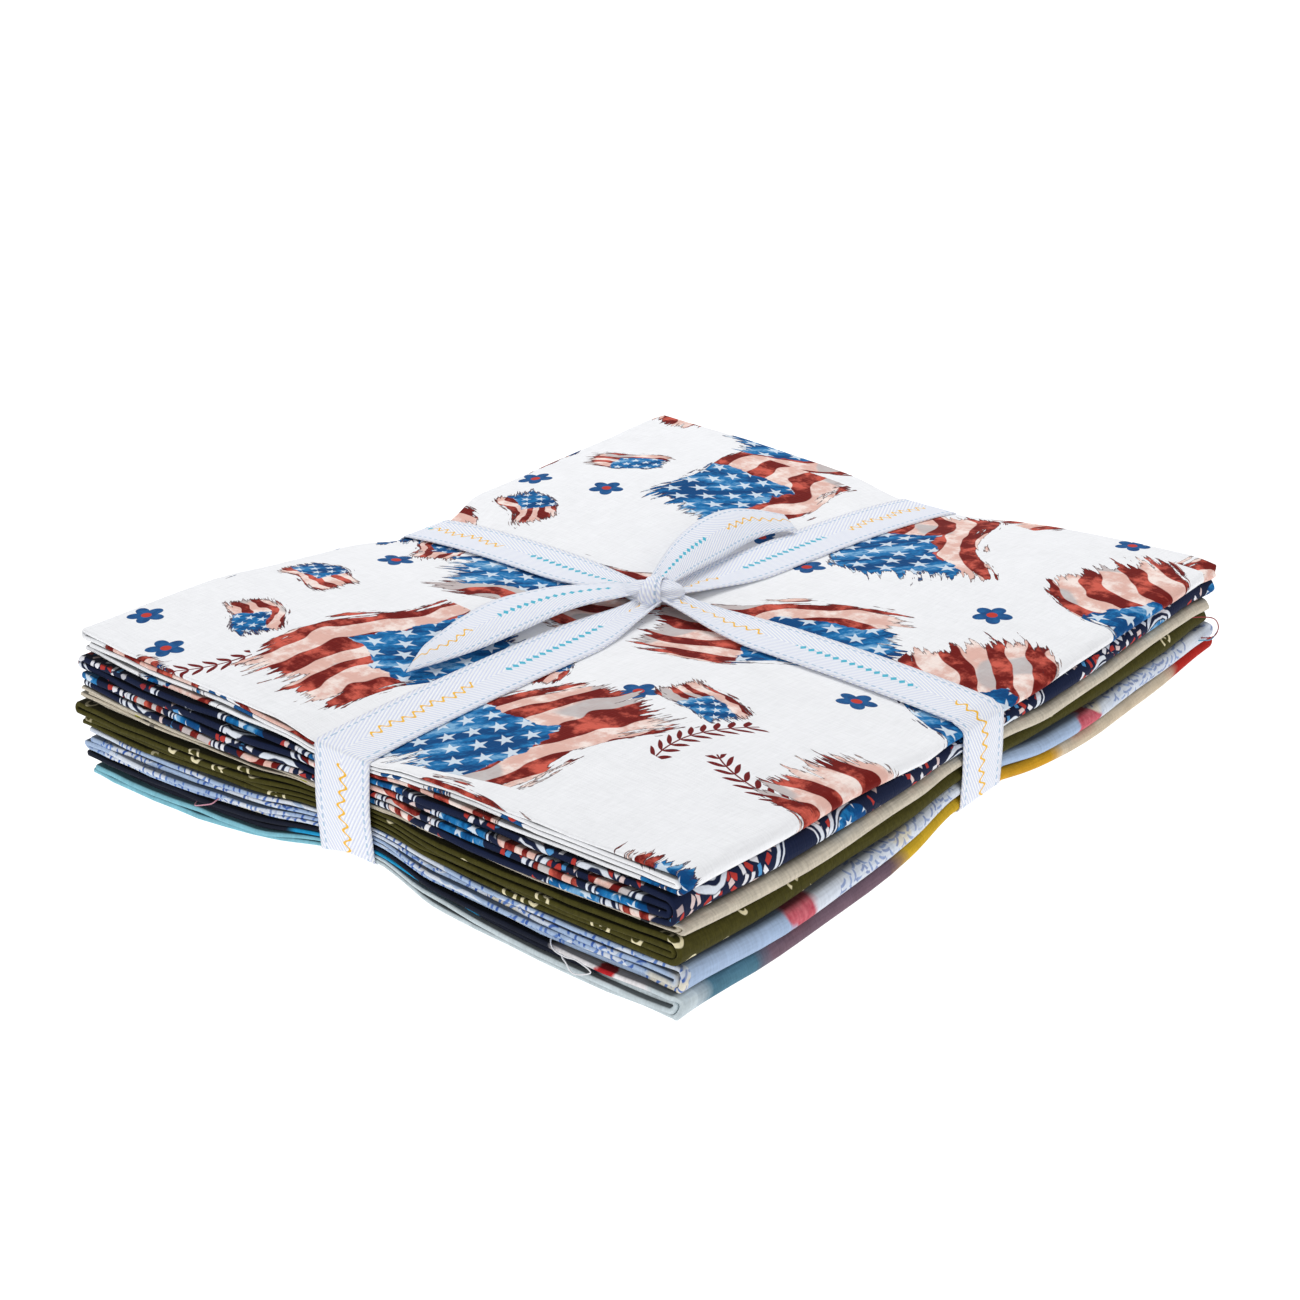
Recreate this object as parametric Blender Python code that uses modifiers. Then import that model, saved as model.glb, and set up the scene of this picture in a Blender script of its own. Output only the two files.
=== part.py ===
"""A bundle of six folded cuts of quilting cotton, tied crosswise with a twill ribbon.

Units are metres and +Z is up. The origin is under the middle of the bundle, on the surface it rests on.
X runs along the side that is nine inches deep, Y along the side that is eleven inches wide.
The front (-Y) side shows the ends of the folds, the right (+X) side shows each cloth's outer wrap.

Every piece is first laid out on a plain grid: x and y across the bundle and a height within its own cloth.
place() then bends that grid into the bundle's uneven form, so that neighbours stay parallel and clear.
"""

import math

import bmesh
import bpy
from mathutils import Matrix, Vector

# Driving dimensions
DEPTH_X = 0.229  # a cut of 36 inches folded in four
WIDTH_Y = 0.280  # cloth 44 inches wide folded in four
GAP = 0.0003  # between one cloth and the next
ORIGIN_SHIFT = (0.0008, 0.0016)  # from the plain grid's middle, so that the uneven outline is centred
RIBBON_WIDTH = 0.021
RIBBON_THICKNESS = 0.001
RIBBON_GAP = 0.00035  # between the ribbon and the cloth it lies on
SKIN = RIBBON_GAP + RIBBON_THICKNESS / 2  # from the cloth to the middle of the ribbon

HALF_X = DEPTH_X / 2
HALF_Y = WIDTH_Y / 2

# One cloth before the bundle squeezes it: four layers, each standing for four plies
CLOTH_HEIGHT = 0.007
LAYER = 0.00145
LAYER_PITCH = (CLOTH_HEIGHT - LAYER) / 3
WRAP_RADIUS = CLOTH_HEIGHT / 2
NOSE_RADIUS = (LAYER_PITCH + LAYER) / 2
LOOSE_END = (0.0015, 0.0032)  # how far each open end stops short of the fold beside it

# How high the bundle's top is over each corner; the loose ends at the front make it thicker there
CORNER_TOP = {"front_left": 0.0470, "front_right": 0.0455, "back_left": 0.0300, "back_right": 0.0335}
CROWN = 0.0012  # the top's swell between the ribbon's arms

# Where the ribbon bends over each side, how far it sinks the top, lifts the bottom and presses the edges in,
# how far the edge swells between a corner and the ribbon, and the length in which the top springs back
SIDES = {
    "front": dict(sink=0.0050, sink_fall=0.011, lift=0.0095, press=0.0010, swell=0.0005),
    "back": dict(sink=0.0085, sink_fall=0.055, lift=0.0060, press=0.0025, swell=0.0010),
    "left": dict(sink=0.0095, sink_fall=0.035, lift=0.0075, press=0.0030, swell=0.0005),
    "right": dict(sink=0.0065, sink_fall=0.038, lift=0.0068, press=0.0020, swell=0.0010),
}
MIDDLE = dict(sink=0.0015, lift=0.0040)  # the same under the knot
SETTLE = 0.040  # how fast a side's value gives way to the middle's
HOLD = 0.012  # half the width that the ribbon keeps level
LIFT_FALL = 0.0175  # the length in which the bottom springs back beside the ribbon
NEAR = 0.020  # grid lines beside the ribbon, the outer one where the edges stand free again
FREE = 0.034
CORNER_ROUND = 0.0012

# The ribbon's arms aren't quite in line: how the bundle's middle lines bend, as shares of a half side
ARM_X = dict(middle=-0.0025, curve=0.0015, slant=0.0053)
ARM_Y = dict(middle=-0.0040, curve=0.0070, slant=-0.0020)

# Grid lines that every piece shares, as distances from the ribbon's lines
LINES_X = (-0.073, -FREE, -NEAR, -HOLD, HOLD, NEAR, FREE, 0.073)
LINES_Y = (-0.100, -0.066, -FREE, -NEAR, -HOLD, HOLD, NEAR, FREE, 0.066, 0.100)

# The cloths from the bottom up: share of the height, whether the left fold joins the upper two layers,
# and how far each edge stands out past the even outline
CLOTHS = {
    "cloth_1_colour_blocks": dict(
        share=1.00, nose_up=True, colour=(0.45, 0.42, 0.38),
        left=0.0005, right=-0.0022, front_left=0.0040, front_right=-0.0005, back=0.0,
    ),
    "cloth_2_pale_blue": dict(
        share=1.05, nose_up=False, colour=(0.48, 0.60, 0.78),
        left=-0.0005, right=-0.0010, front_left=0.0055, front_right=-0.0010, back=-0.0010,
    ),
    "cloth_3_olive": dict(
        share=1.05, nose_up=True, colour=(0.09, 0.09, 0.025),
        left=0.0025, right=-0.0020, front_left=0.0055, front_right=0.0, back=-0.0025,
    ),
    "cloth_4_natural": dict(
        share=0.85, nose_up=False, colour=(0.60, 0.54, 0.42),
        left=0.0010, right=0.0, front_left=0.0035, front_right=-0.0015, back=-0.0015,
    ),
    "cloth_5_navy": dict(
        share=1.15, nose_up=True, colour=(0.015, 0.025, 0.07),
        left=0.0010, right=-0.0005, front_left=0.0040, front_right=0.0012, back=0.0010,
    ),
    "cloth_6_white_print": dict(
        share=0.90, nose_up=True, colour=(0.86, 0.87, 0.90),
        left=0.0020, right=0.0005, front_left=0.0015, front_right=0.0, back=0.0,
    ),
}

# The ribbon at the knot: how far its arms rise off the cloth and how narrow they are gathered
ARM_LIFT = 0.0035
ARM_RISE_FROM = 0.045
GATHERED_WIDTH = 0.009
BAND_STEP = 0.0004  # one band's extra height where the two bands cross
KNOT_LINES = (-0.022, 0.0, 0.022)  # the ribbon's own grid lines beside the knot
KNOT_AT = (-0.004, -0.005)
KNOT_RADII = (0.0095, 0.0058, 0.0034)
KNOT_TURN = math.radians(35)
COLLAR_RADII = (0.0038, 0.0070, 0.0039)  # the turn of ribbon round the middle of the knot

# The two free ends, a row for each crease: where the right and the left edge lie and the lift off the cloth
TAILS = {
    "front": [
        dict(right=(-0.0040, -0.0090), left=(-0.0090, -0.0055), lift=0.0045),
        dict(right=(-0.0090, -0.0210), left=(-0.0200, -0.0105), lift=0.0042),
        dict(right=(-0.0130, -0.0310), left=(-0.0300, -0.0200), lift=0.0030),
        dict(right=(-0.0155, -0.0420), left=(-0.0345, -0.0330), lift=0.0021),
        dict(right=(-0.0168, -0.0560), left=(-0.0360, -0.0500), lift=0.0016),
        dict(right=(-0.0185, -0.0760), left=(-0.0308, -0.0710), lift=0.0015),
        dict(right=(-0.0220, -0.0970), left=(-0.0228, -0.0945), lift=0.0015),
    ],
    "back": [
        dict(right=(-0.0045, -0.0030), left=(-0.0095, -0.0010), lift=0.0045),
        dict(right=(-0.0080, 0.0150), left=(-0.0180, 0.0180), lift=0.0045),
        dict(right=(-0.0110, 0.0340), left=(-0.0290, 0.0390), lift=0.0035),
        dict(right=(-0.0128, 0.0560), left=(-0.0330, 0.0620), lift=0.0022),
        dict(right=(-0.0100, 0.0740), left=(-0.0265, 0.0835), lift=0.0016),
    ],
}


def clamp(value):
    return min(1.0, max(0.0, value))


def ease(value):
    value = clamp(value)
    return value * value * (3 - 2 * value)


def fade(distance, start, end):
    """1 up to start, falling softly to 0 at end."""
    return 1 - ease((abs(distance) - start) / (end - start))


def along(position, half, low, middle, high):
    """A value along a ribbon's line: low at one side of the bundle, high at the other."""
    return (
        middle
        + (low - middle) * math.exp(-(half + position) / SETTLE)
        + (high - middle) * math.exp(-(half - position) / SETTLE)
    )


def spring(distance, fall):
    """1 under the ribbon, then falling as a bent stack springs back: fast at first, slower further off."""
    away = max(0.0, abs(distance) - HOLD)
    return max(0.0, 1.05 * math.exp(-away * away / (fall * (away + 0.003))) - 0.05)


def squeeze(x, y, kind):
    """How far the ribbon moves the top (sink) or the bottom (lift) at a place."""
    front_back = along(y, HALF_Y, SIDES["front"][kind], MIDDLE[kind], SIDES["back"][kind])
    left_right = along(x, HALF_X, SIDES["left"][kind], MIDDLE[kind], SIDES["right"][kind])
    fall_x = fall_y = LIFT_FALL
    if kind == "sink":
        u, v = 0.5 + x / DEPTH_X, 0.5 + y / WIDTH_Y
        fall_x = SIDES["left"]["sink_fall"] * (1 - u) + SIDES["right"]["sink_fall"] * u
        fall_y = SIDES["front"]["sink_fall"] * (1 - v) + SIDES["back"]["sink_fall"] * v
    return max(front_back * spring(x, fall_y), left_right * spring(y, fall_x))


def top(x, y):
    u = 0.5 + x / DEPTH_X
    v = 0.5 + y / WIDTH_Y
    front = CORNER_TOP["front_left"] * (1 - u) + CORNER_TOP["front_right"] * u
    back = CORNER_TOP["back_left"] * (1 - u) + CORNER_TOP["back_right"] * u
    crown_x = math.sin(math.pi * clamp((abs(x) - HOLD) / (HALF_X - HOLD)))
    crown_y = math.sin(math.pi * clamp((abs(y) - HOLD) / (HALF_Y - HOLD)))
    return front * (1 - v) + back * v + CROWN * crown_x * crown_y - squeeze(x, y, "sink")


def bottom(x, y):
    return squeeze(x, y, "lift")


def bend_lines(x, y):
    """Moves the middle of the bundle sideways, so that the ribbon's arms run as they do."""
    u = x / HALF_X
    v = y / HALF_Y
    across = ARM_X["middle"] + ARM_X["curve"] * abs(v) + ARM_X["slant"] * v
    down = ARM_Y["middle"] + ARM_Y["curve"] * abs(u) + ARM_Y["slant"] * u
    return x + across * (1 - u * u), y + down * (1 - v * v)


def slots():
    """The lower edge and the height of each cloth's slot, as shares of the bundle's height."""
    total = sum(row["share"] for row in CLOTHS.values())
    start = 0.0
    result = {}
    for name, row in CLOTHS.items():
        result[name] = (start, row["share"] / total)
        start += row["share"] / total
    return result


SLOTS = slots()


def slot_at(name, x, y):
    """The bottom and the height of one cloth at a place, with the gap above it left out."""
    low = bottom(x, y)
    room = top(x, y) - low + GAP
    start, share = SLOTS[name]
    return low + start * room, share * room - GAP


def edge_shift(x, y, row):
    """Moves a cloth's edges to where they stand in the stack: uneven, but pressed flush by the ribbon."""
    to_x = ease((abs(x) - LINES_X[-1]) / (HALF_X - LINES_X[-1]))
    to_y = ease((abs(y) - LINES_Y[-1]) / (HALF_Y - LINES_Y[-1]))
    tied_x = fade(y, HOLD, FREE)
    tied_y = fade(x, HOLD, FREE)
    side_x = "right" if x > 0 else "left"
    side_y = "back" if y > 0 else "front"
    u = clamp(0.5 + x / DEPTH_X)
    front = row["front_left"] * (1 - u) + row["front_right"] * u
    free_x = row[side_x] + SIDES[side_x]["swell"] * math.sin(math.pi * abs(y) / HALF_Y)
    free_y = row["back"] if y > 0 else front
    free_y += SIDES[side_y]["swell"] * math.sin(math.pi * clamp(abs(x) / HALF_X))
    out_x = free_x * (1 - tied_x) - SIDES[side_x]["press"] * tied_x - CORNER_ROUND * to_y
    out_y = free_y * (1 - tied_y) - SIDES[side_y]["press"] * tied_y - CORNER_ROUND * to_x
    return x + math.copysign(1, x) * out_x * to_x, y + math.copysign(1, y) * out_y * to_y


def place(x, y, height, name):
    """A point of a cloth, from the plain grid to the bundle."""
    x, y = edge_shift(x, y, CLOTHS[name])
    low, room = slot_at(name, x, y)
    across, down = bend_lines(x, y)
    return Vector((across, down, low + room * height / CLOTH_HEIGHT))


def arc(centre_x, centre_z, radius, start, end, steps):
    """The points between the ends of an arc, in degrees."""
    points = []
    for i in range(1, steps):
        angle = math.radians(start + (end - start) * i / steps)
        points.append((centre_x + radius * math.cos(angle), centre_z + radius * math.sin(angle)))
    return points


def fold_section(nose_up):
    """The middle line of a cloth folded in four, seen from the front, from one loose end to the other."""
    levels = [LAYER / 2 + LAYER_PITCH * i for i in range(4)]
    wrap_x = HALF_X - WRAP_RADIUS
    nose_x = -HALF_X + NOSE_RADIUS
    middle = CLOTH_HEIGHT / 2
    out = list(LINES_X)
    points = [(-HALF_X + LOOSE_END[0], levels[0])]
    points += [(x, levels[0]) for x in out] + [(wrap_x, levels[0])]
    points += arc(wrap_x, middle, middle - LAYER / 2, -90, 90, 6)
    points += [(wrap_x, levels[3])] + [(x, levels[3]) for x in reversed(out)] + [(nose_x, levels[3])]
    points += arc(nose_x, (levels[2] + levels[3]) / 2, LAYER_PITCH / 2, 90, 270, 4)
    points += [(nose_x, levels[2])] + [(x, levels[2]) for x in out] + [(wrap_x, levels[2])]
    points += arc(wrap_x, middle, LAYER_PITCH / 2, 90, -90, 4)
    points += [(wrap_x, levels[1])] + [(x, levels[1]) for x in reversed(out)]
    points += [(-HALF_X + LOOSE_END[1], levels[1])]
    if not nose_up:
        points = [(x, CLOTH_HEIGHT - z) for x, z in points]
    return points


def collection(name):
    made = bpy.data.collections.new(name)
    bpy.context.scene.collection.children.link(made)
    return made


def material(name, colour, roughness=0.9):
    made = bpy.data.materials.new(name)
    made.use_nodes = True
    shader = made.node_tree.nodes["Principled BSDF"]
    shader.inputs["Base Color"].default_value = (*colour, 1)
    shader.inputs["Roughness"].default_value = roughness
    shader.inputs["Metallic"].default_value = 0
    return made


def add_object(name, bm, group, finish):
    mesh = bpy.data.meshes.new(name)
    bm.to_mesh(mesh)
    bm.free()
    mesh.materials.append(finish)
    made = bpy.data.objects.new(name, mesh)
    group.objects.link(made)
    return made


def thicken(made, thickness):
    """Gives a sheet its thickness, half to each side, and keeps the result as its mesh."""
    solid = made.modifiers.new("Thickness", "SOLIDIFY")
    solid.thickness = thickness
    solid.offset = 0
    solid.use_even_offset = True
    solid.use_quality_normals = True
    bpy.context.view_layer.update()
    shown = made.evaluated_get(bpy.context.evaluated_depsgraph_get())
    mesh = bpy.data.meshes.new_from_object(shown)
    made.modifiers.clear()
    made.data = mesh


def split_alike(made):
    """Splits every four-sided face along the same diagonal, so that facing sheets stay parallel."""
    bm = bmesh.new()
    bm.from_mesh(made.data)
    for face in [item for item in bm.faces if len(item.verts) == 4]:
        corners = list(face.verts)
        lowest = min(corners, key=lambda vert: vert.co.x + 2 * vert.co.y + vert.co.z)
        start = corners.index(lowest) % 2
        bmesh.utils.face_split(face, corners[start], corners[start + 2])
    bm.to_mesh(made.data)
    bm.free()


def sweep(rows, closed=False):
    """A sheet through rows of points, each row pulled out of the one before it."""
    bm = bmesh.new()
    verts = [bm.verts.new(point) for point in rows[0]]
    first = [bm.edges.new(pair) for pair in zip(verts, verts[1:])]
    edges = first
    for row in rows[1:]:
        order = {vert.co.to_tuple(7): i for i, vert in enumerate(verts)}
        pulled = bmesh.ops.extrude_edge_only(bm, edges=edges)["geom"]
        edges = [item for item in pulled if isinstance(item, bmesh.types.BMEdge)]
        pulled_verts = [item for item in pulled if isinstance(item, bmesh.types.BMVert)]
        verts = sorted(pulled_verts, key=lambda vert: order[vert.co.to_tuple(7)])
        for vert, point in zip(verts, row):
            vert.co = point
    if closed:
        bmesh.ops.bridge_loops(bm, edges=first + edges)
    bmesh.ops.recalc_face_normals(bm, faces=bm.faces)
    return bm


def cloth(name, group):
    """One folded cut: its section pulled along Y, thickened, then bent into its place in the bundle."""
    row = CLOTHS[name]
    section = fold_section(row["nose_up"])
    stations = [-HALF_Y, *LINES_Y, HALF_Y]
    rows = [[(x, y, z) for x, z in section] for y in stations]
    made = add_object(name, sweep(rows), group, material(name, row["colour"]))
    thicken(made, LAYER)
    split_alike(made)
    for vert in made.data.vertices:
        vert.co = place(vert.co.x, vert.co.y, vert.co.z, name)
    return made


def ribbon_lift(distance):
    """How high the middle of the ribbon lies over the cloth, rising to the knot."""
    return SKIN + ARM_LIFT * (1 - clamp(distance / ARM_RISE_FROM)) ** 2


def ribbon_width(distance):
    return GATHERED_WIDTH + (RIBBON_WIDTH - GATHERED_WIDTH) * ease(distance / ARM_RISE_FROM)


def skin_path(along_y):
    """The skin under a band: its lines, then position, height, cloth and way out down each side."""
    under, *_, over = CLOTHS
    if along_y:
        far = [(HALF_Y, CLOTH_HEIGHT, over, angle) for angle in (90, 60, 30, 0)]
        far += [(HALF_Y, 0, under, angle) for angle in (0, -30, -60, -90)]
        near = [(-HALF_Y, 0, under, angle) for angle in (-90, -120, -150, -180)]
        near += [(-HALF_Y, CLOTH_HEIGHT, over, angle) for angle in (180, 150, 120, 90)]
        return LINES_Y, far, near
    wrap_x, middle = HALF_X - WRAP_RADIUS, CLOTH_HEIGHT / 2
    nose_x, nose_z = -HALF_X + NOSE_RADIUS, CLOTH_HEIGHT - NOSE_RADIUS
    far = [around(wrap_x, middle, WRAP_RADIUS, angle) + (over, angle) for angle in (90, 60, 30, 0)]
    far += [around(wrap_x, middle, WRAP_RADIUS, angle) + (under, angle) for angle in (0, -30, -60, -90)]
    near = [(-HALF_X + LOOSE_END[0], 0, under, angle) for angle in (-90, -120, -150)]
    near += [(-HALF_X, nose_z, under, -180)]
    near += [around(nose_x, nose_z, NOSE_RADIUS, angle) + (over, angle) for angle in (180, 135, 90)]
    return LINES_X, far, near


def around(centre_x, centre_z, radius, angle):
    angle = math.radians(angle)
    return centre_x + radius * math.cos(angle), centre_z + radius * math.sin(angle)


def band_row(along_y, position, height, name, angle, width, clearance):
    """Three points across a band, held off the cloth by its clearance."""
    out = clearance * math.cos(math.radians(angle))
    up = clearance * math.sin(math.radians(angle))
    offset = Vector((0, out, up) if along_y else (out, 0, up))
    row = []
    for side in (-width / 2, 0, width / 2):
        x, y = (side, position) if along_y else (position, side)
        row.append(place(x, y, height, name) + offset)
    return row


def band(along_y, step):
    """One of the ribbon's two bands: over the bundle, down one side, back under it and up the other."""
    lines, far, near = skin_path(along_y)
    under, *_, over = CLOTHS
    rows = []
    for position in sorted([*lines, *KNOT_LINES]):
        width = ribbon_width(abs(position))
        lift = ribbon_lift(abs(position)) + step
        rows.append(band_row(along_y, position, CLOTH_HEIGHT, over, 90, width, lift))
    rows += [band_row(along_y, *point, RIBBON_WIDTH, SKIN) for point in far]
    for position in reversed(lines):
        rows.append(band_row(along_y, position, 0, under, -90, RIBBON_WIDTH, SKIN + step))
    rows += [band_row(along_y, *point, RIBBON_WIDTH, SKIN) for point in near]
    return sweep(rows, closed=True)


def tail(rows):
    """A free end of the ribbon, from inside the knot to its slanting cut."""
    made = []
    for row in rows:
        (right_x, right_y), (left_x, left_y) = row["right"], row["left"]
        middle = ((right_x + left_x) / 2, (right_y + left_y) / 2)
        points = [(right_x, right_y), middle, (left_x, left_y)]
        made.append([Vector((x, y, top(x, y) + row["lift"])) for x, y in points])
    return sweep(made)


def lump(radii, segments, rings):
    """A rounded lump of the knot."""
    bm = bmesh.new()
    bmesh.ops.create_uvsphere(bm, u_segments=segments, v_segments=rings, radius=1)
    bmesh.ops.scale(bm, vec=radii, verts=bm.verts)
    bmesh.ops.rotate(bm, matrix=Matrix.Rotation(KNOT_TURN, 3, "Z"), verts=bm.verts)
    centre = Vector((*KNOT_AT, top(0, 0) + ribbon_lift(0)))
    bmesh.ops.translate(bm, vec=centre, verts=bm.verts)
    return bm


def unite(base, others):
    """Joins overlapping pieces of the ribbon into one closed solid."""
    for other in others:
        join = base.modifiers.new("Join", "BOOLEAN")
        join.operation = "UNION"
        join.object = other
    bpy.context.view_layer.update()
    mesh = bpy.data.meshes.new_from_object(base.evaluated_get(bpy.context.evaluated_depsgraph_get()))
    base.modifiers.clear()
    base.data = mesh
    for other in others:
        bpy.data.objects.remove(other, do_unlink=True)


def ribbon(group):
    finish = material("ribbon", (0.80, 0.83, 0.90), 0.8)
    sheets = {
        "ribbon_tie": band(True, 0.0),
        "band_across": band(False, BAND_STEP),
        "tail_front": tail(TAILS["front"]),
        "tail_back": tail(TAILS["back"]),
    }
    pieces = [add_object(name, bm, group, finish) for name, bm in sheets.items()]
    for piece in pieces:
        thicken(piece, RIBBON_THICKNESS)
    pieces.append(add_object("knot", lump(KNOT_RADII, 12, 8), group, finish))
    pieces.append(add_object("collar", lump(COLLAR_RADII, 12, 8), group, finish))
    unite(pieces[0], pieces[1:])


def main():
    for item in list(bpy.data.objects):
        bpy.data.objects.remove(item, do_unlink=True)
    group = collection("Fabric bundle")
    for name in CLOTHS:
        cloth(name, group)
    ribbon(group)
    for item in group.objects:
        item.data.transform(Matrix.Translation((*ORIGIN_SHIFT, 0)))


main()
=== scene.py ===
# %% [markdown]
# # A bundle of folded quilting cotton
#
# Six one-yard cuts of printed cotton lie in a stack. Each was folded in four across its width and then in
# four along its length, and a twill ribbon goes round the stack both ways and is knotted on top. All of it
# is sheet, so this lesson is about folding: a grid of points is laid out flat at the cloth's real size, and
# each point is then moved to where the folds carry it. The weave and the prints are painted on the flat
# cloth, so they run over every fold as they do on the real thing.

# %% Load the frame
import math

import bmesh
import bpy
import numpy as np
from mathutils import Matrix, Vector


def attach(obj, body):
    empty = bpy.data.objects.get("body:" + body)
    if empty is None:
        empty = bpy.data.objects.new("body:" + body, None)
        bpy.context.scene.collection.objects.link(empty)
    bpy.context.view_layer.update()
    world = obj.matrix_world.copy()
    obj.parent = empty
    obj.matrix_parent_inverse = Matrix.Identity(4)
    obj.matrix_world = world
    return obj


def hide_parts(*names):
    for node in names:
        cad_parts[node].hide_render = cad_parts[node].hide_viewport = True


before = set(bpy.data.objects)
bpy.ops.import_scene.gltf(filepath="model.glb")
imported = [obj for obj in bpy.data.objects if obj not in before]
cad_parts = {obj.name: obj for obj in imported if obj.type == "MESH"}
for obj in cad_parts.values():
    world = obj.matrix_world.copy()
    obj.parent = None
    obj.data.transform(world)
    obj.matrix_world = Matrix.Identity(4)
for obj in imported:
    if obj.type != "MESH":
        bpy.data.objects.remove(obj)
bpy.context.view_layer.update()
scene = bpy.context.scene
print("frame:", ", ".join(sorted(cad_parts)))

# %% [markdown]
# ## The camera
#
# The picture was taken with a long lens from above one corner, so the far edges are only a little smaller
# than the near ones. The camera is placed by its turn round the bundle, its height angle and its distance,
# which is easier to adjust than a position and three angles.

# %% The camera
CAMERA_TURN = math.radians(39.13)
CAMERA_RISE = math.radians(26.195)
CAMERA_ROLL = math.radians(-0.3)
CAMERA_DISTANCE = 0.8601
LOOK_AT = Vector((-0.0031, -0.0055, 0.0225))
LENS = 76.26  # millimetres, on Blender's own 36 mm sensor


def add_camera():
    level = math.cos(CAMERA_RISE)
    direction = Vector((math.sin(CAMERA_TURN) * level, -math.cos(CAMERA_TURN) * level, math.sin(CAMERA_RISE)))
    turned = direction.to_track_quat("Z", "Y").to_matrix() @ Matrix.Rotation(CAMERA_ROLL, 3, "Z")
    camera = bpy.data.objects.new("camera", bpy.data.cameras.new("camera"))
    camera.data.lens = LENS
    camera.matrix_world = Matrix.Translation(LOOK_AT + direction * CAMERA_DISTANCE) @ turned.to_4x4()
    scene.collection.objects.link(camera)
    scene.camera = camera


add_camera()

# %% [markdown]
# ## The floor and the light
#
# A bundle like this is photographed on white, in a light so soft that nothing casts a hard shadow. A floor
# that glows, as a light table does, and a bright, even world do most of the work. Under its glow the floor
# is grey, so that it throws little of the cloths' own colours back. One large lamp high behind the bundle
# brightens the top and leaves a soft shade under the knot, and two weak ones fill the two sides that the
# camera sees.
#
# Three helpers serve every piece from here on: srgb() for colours, plain_paint() for a material of one
# colour, and add_piece(), which makes an object of a finished bmesh.

# %% The floor and the light
FLOOR_SIZE = 4.0
FLOOR_DROP = 0.0002  # keeps the floor just clear of the lowest cloth
FLOOR_COLOUR = (100, 100, 101)
FLOOR_GLOW = 1.10
WORLD_STRENGTH = 0.46
LAMPS = {
    "top_light": dict(place=(-0.5, 0.7, 1.3), size=1.1, power=12.0),
    "left_fill": dict(place=(-0.7, -1.2, 0.6), size=1.2, power=5.2),
    "right_fill": dict(place=(1.4, -0.1, 0.7), size=1.2, power=4.4),
}


def srgb(red, green, blue):
    """A colour given as it looks on a screen, 0 to 255, in Blender's linear values."""
    scaled = (value / 255 for value in (red, green, blue))
    linear = [value / 12.92 if value <= 0.04045 else ((value + 0.055) / 1.055) ** 2.4 for value in scaled]
    return (*linear, 1.0)


def plain_paint(name, colour, looks):
    """A material of one colour; looks are the shader's other inputs."""
    paint = bpy.data.materials.new(name)
    paint.use_nodes = True
    shader = paint.node_tree.nodes["Principled BSDF"]
    for key, value in {"Base Color": srgb(*colour), **looks}.items():
        shader.inputs[key].default_value = value
    return paint


def add_piece(name, bm, thickness=None):
    """Makes an object of a finished bmesh. A bare sheet gets its thickness from a Solidify modifier."""
    mesh = bpy.data.meshes.new(name)
    bm.to_mesh(mesh)
    bm.free()
    piece = bpy.data.objects.new(name, mesh)
    scene.collection.objects.link(piece)
    if thickness:
        solid = piece.modifiers.new("Thickness", "SOLIDIFY")
        solid.thickness = thickness
        solid.offset = 0
        solid.use_quality_normals = True
    return piece


def add_floor():
    bm = bmesh.new()
    bmesh.ops.create_grid(bm, x_segments=1, y_segments=1, size=FLOOR_SIZE / 2)
    bmesh.ops.translate(bm, vec=(0, 0, -FLOOR_DROP), verts=bm.verts)
    floor = add_piece("floor", bm)
    glow = {"Roughness": 0.9, "Emission Color": (1.0, 1.0, 1.0, 1.0), "Emission Strength": FLOOR_GLOW}
    floor.data.materials.append(plain_paint("floor_white", FLOOR_COLOUR, glow))


def add_lamps():
    world = bpy.data.worlds.new("studio")
    world.use_nodes = True
    sky = world.node_tree.nodes["Background"]
    sky.inputs["Color"].default_value = (1.0, 1.0, 1.0, 1.0)
    sky.inputs["Strength"].default_value = WORLD_STRENGTH
    scene.world = world
    for name, row in LAMPS.items():
        lamp = bpy.data.objects.new(name, bpy.data.lights.new(name, "AREA"))
        lamp.data.shape = "DISK"
        lamp.data.size = row["size"]
        lamp.data.energy = row["power"]
        lamp.location = row["place"]
        lamp.rotation_euler = (LOOK_AT - lamp.location).to_track_quat("-Z", "Y").to_euler()
        scene.collection.objects.link(lamp)
    scene.view_settings.view_transform = "Standard"


add_floor()
add_lamps()

# %% [markdown]
# ## The form of the bundle
#
# Before any cloth is made, the form of the whole stack is written down as a few functions of the place on
# the table: how high its top is, how far the ribbon lifts its bottom, and which share of the height each
# cloth has. The solids of the frame have nearly the same form in coarser steps, and here the lowest cloths
# follow the lower edge more closely beside the ribbon. The stack is thicker at the front, where the folds of
# one side puff it up, and the ribbon squeezes the middle of each side.

# %% The form of the bundle: sizes
HALF_X = 0.229 / 2  # a yard of 36 inches, folded in four
HALF_Y = 0.280 / 2  # cloth 44 inches wide, folded in four
ORIGIN_SHIFT = (0.0008, 0.0016)  # from the plain grid's middle to the frame's origin
GAP = 0.0002  # between one cloth and the next

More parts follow.
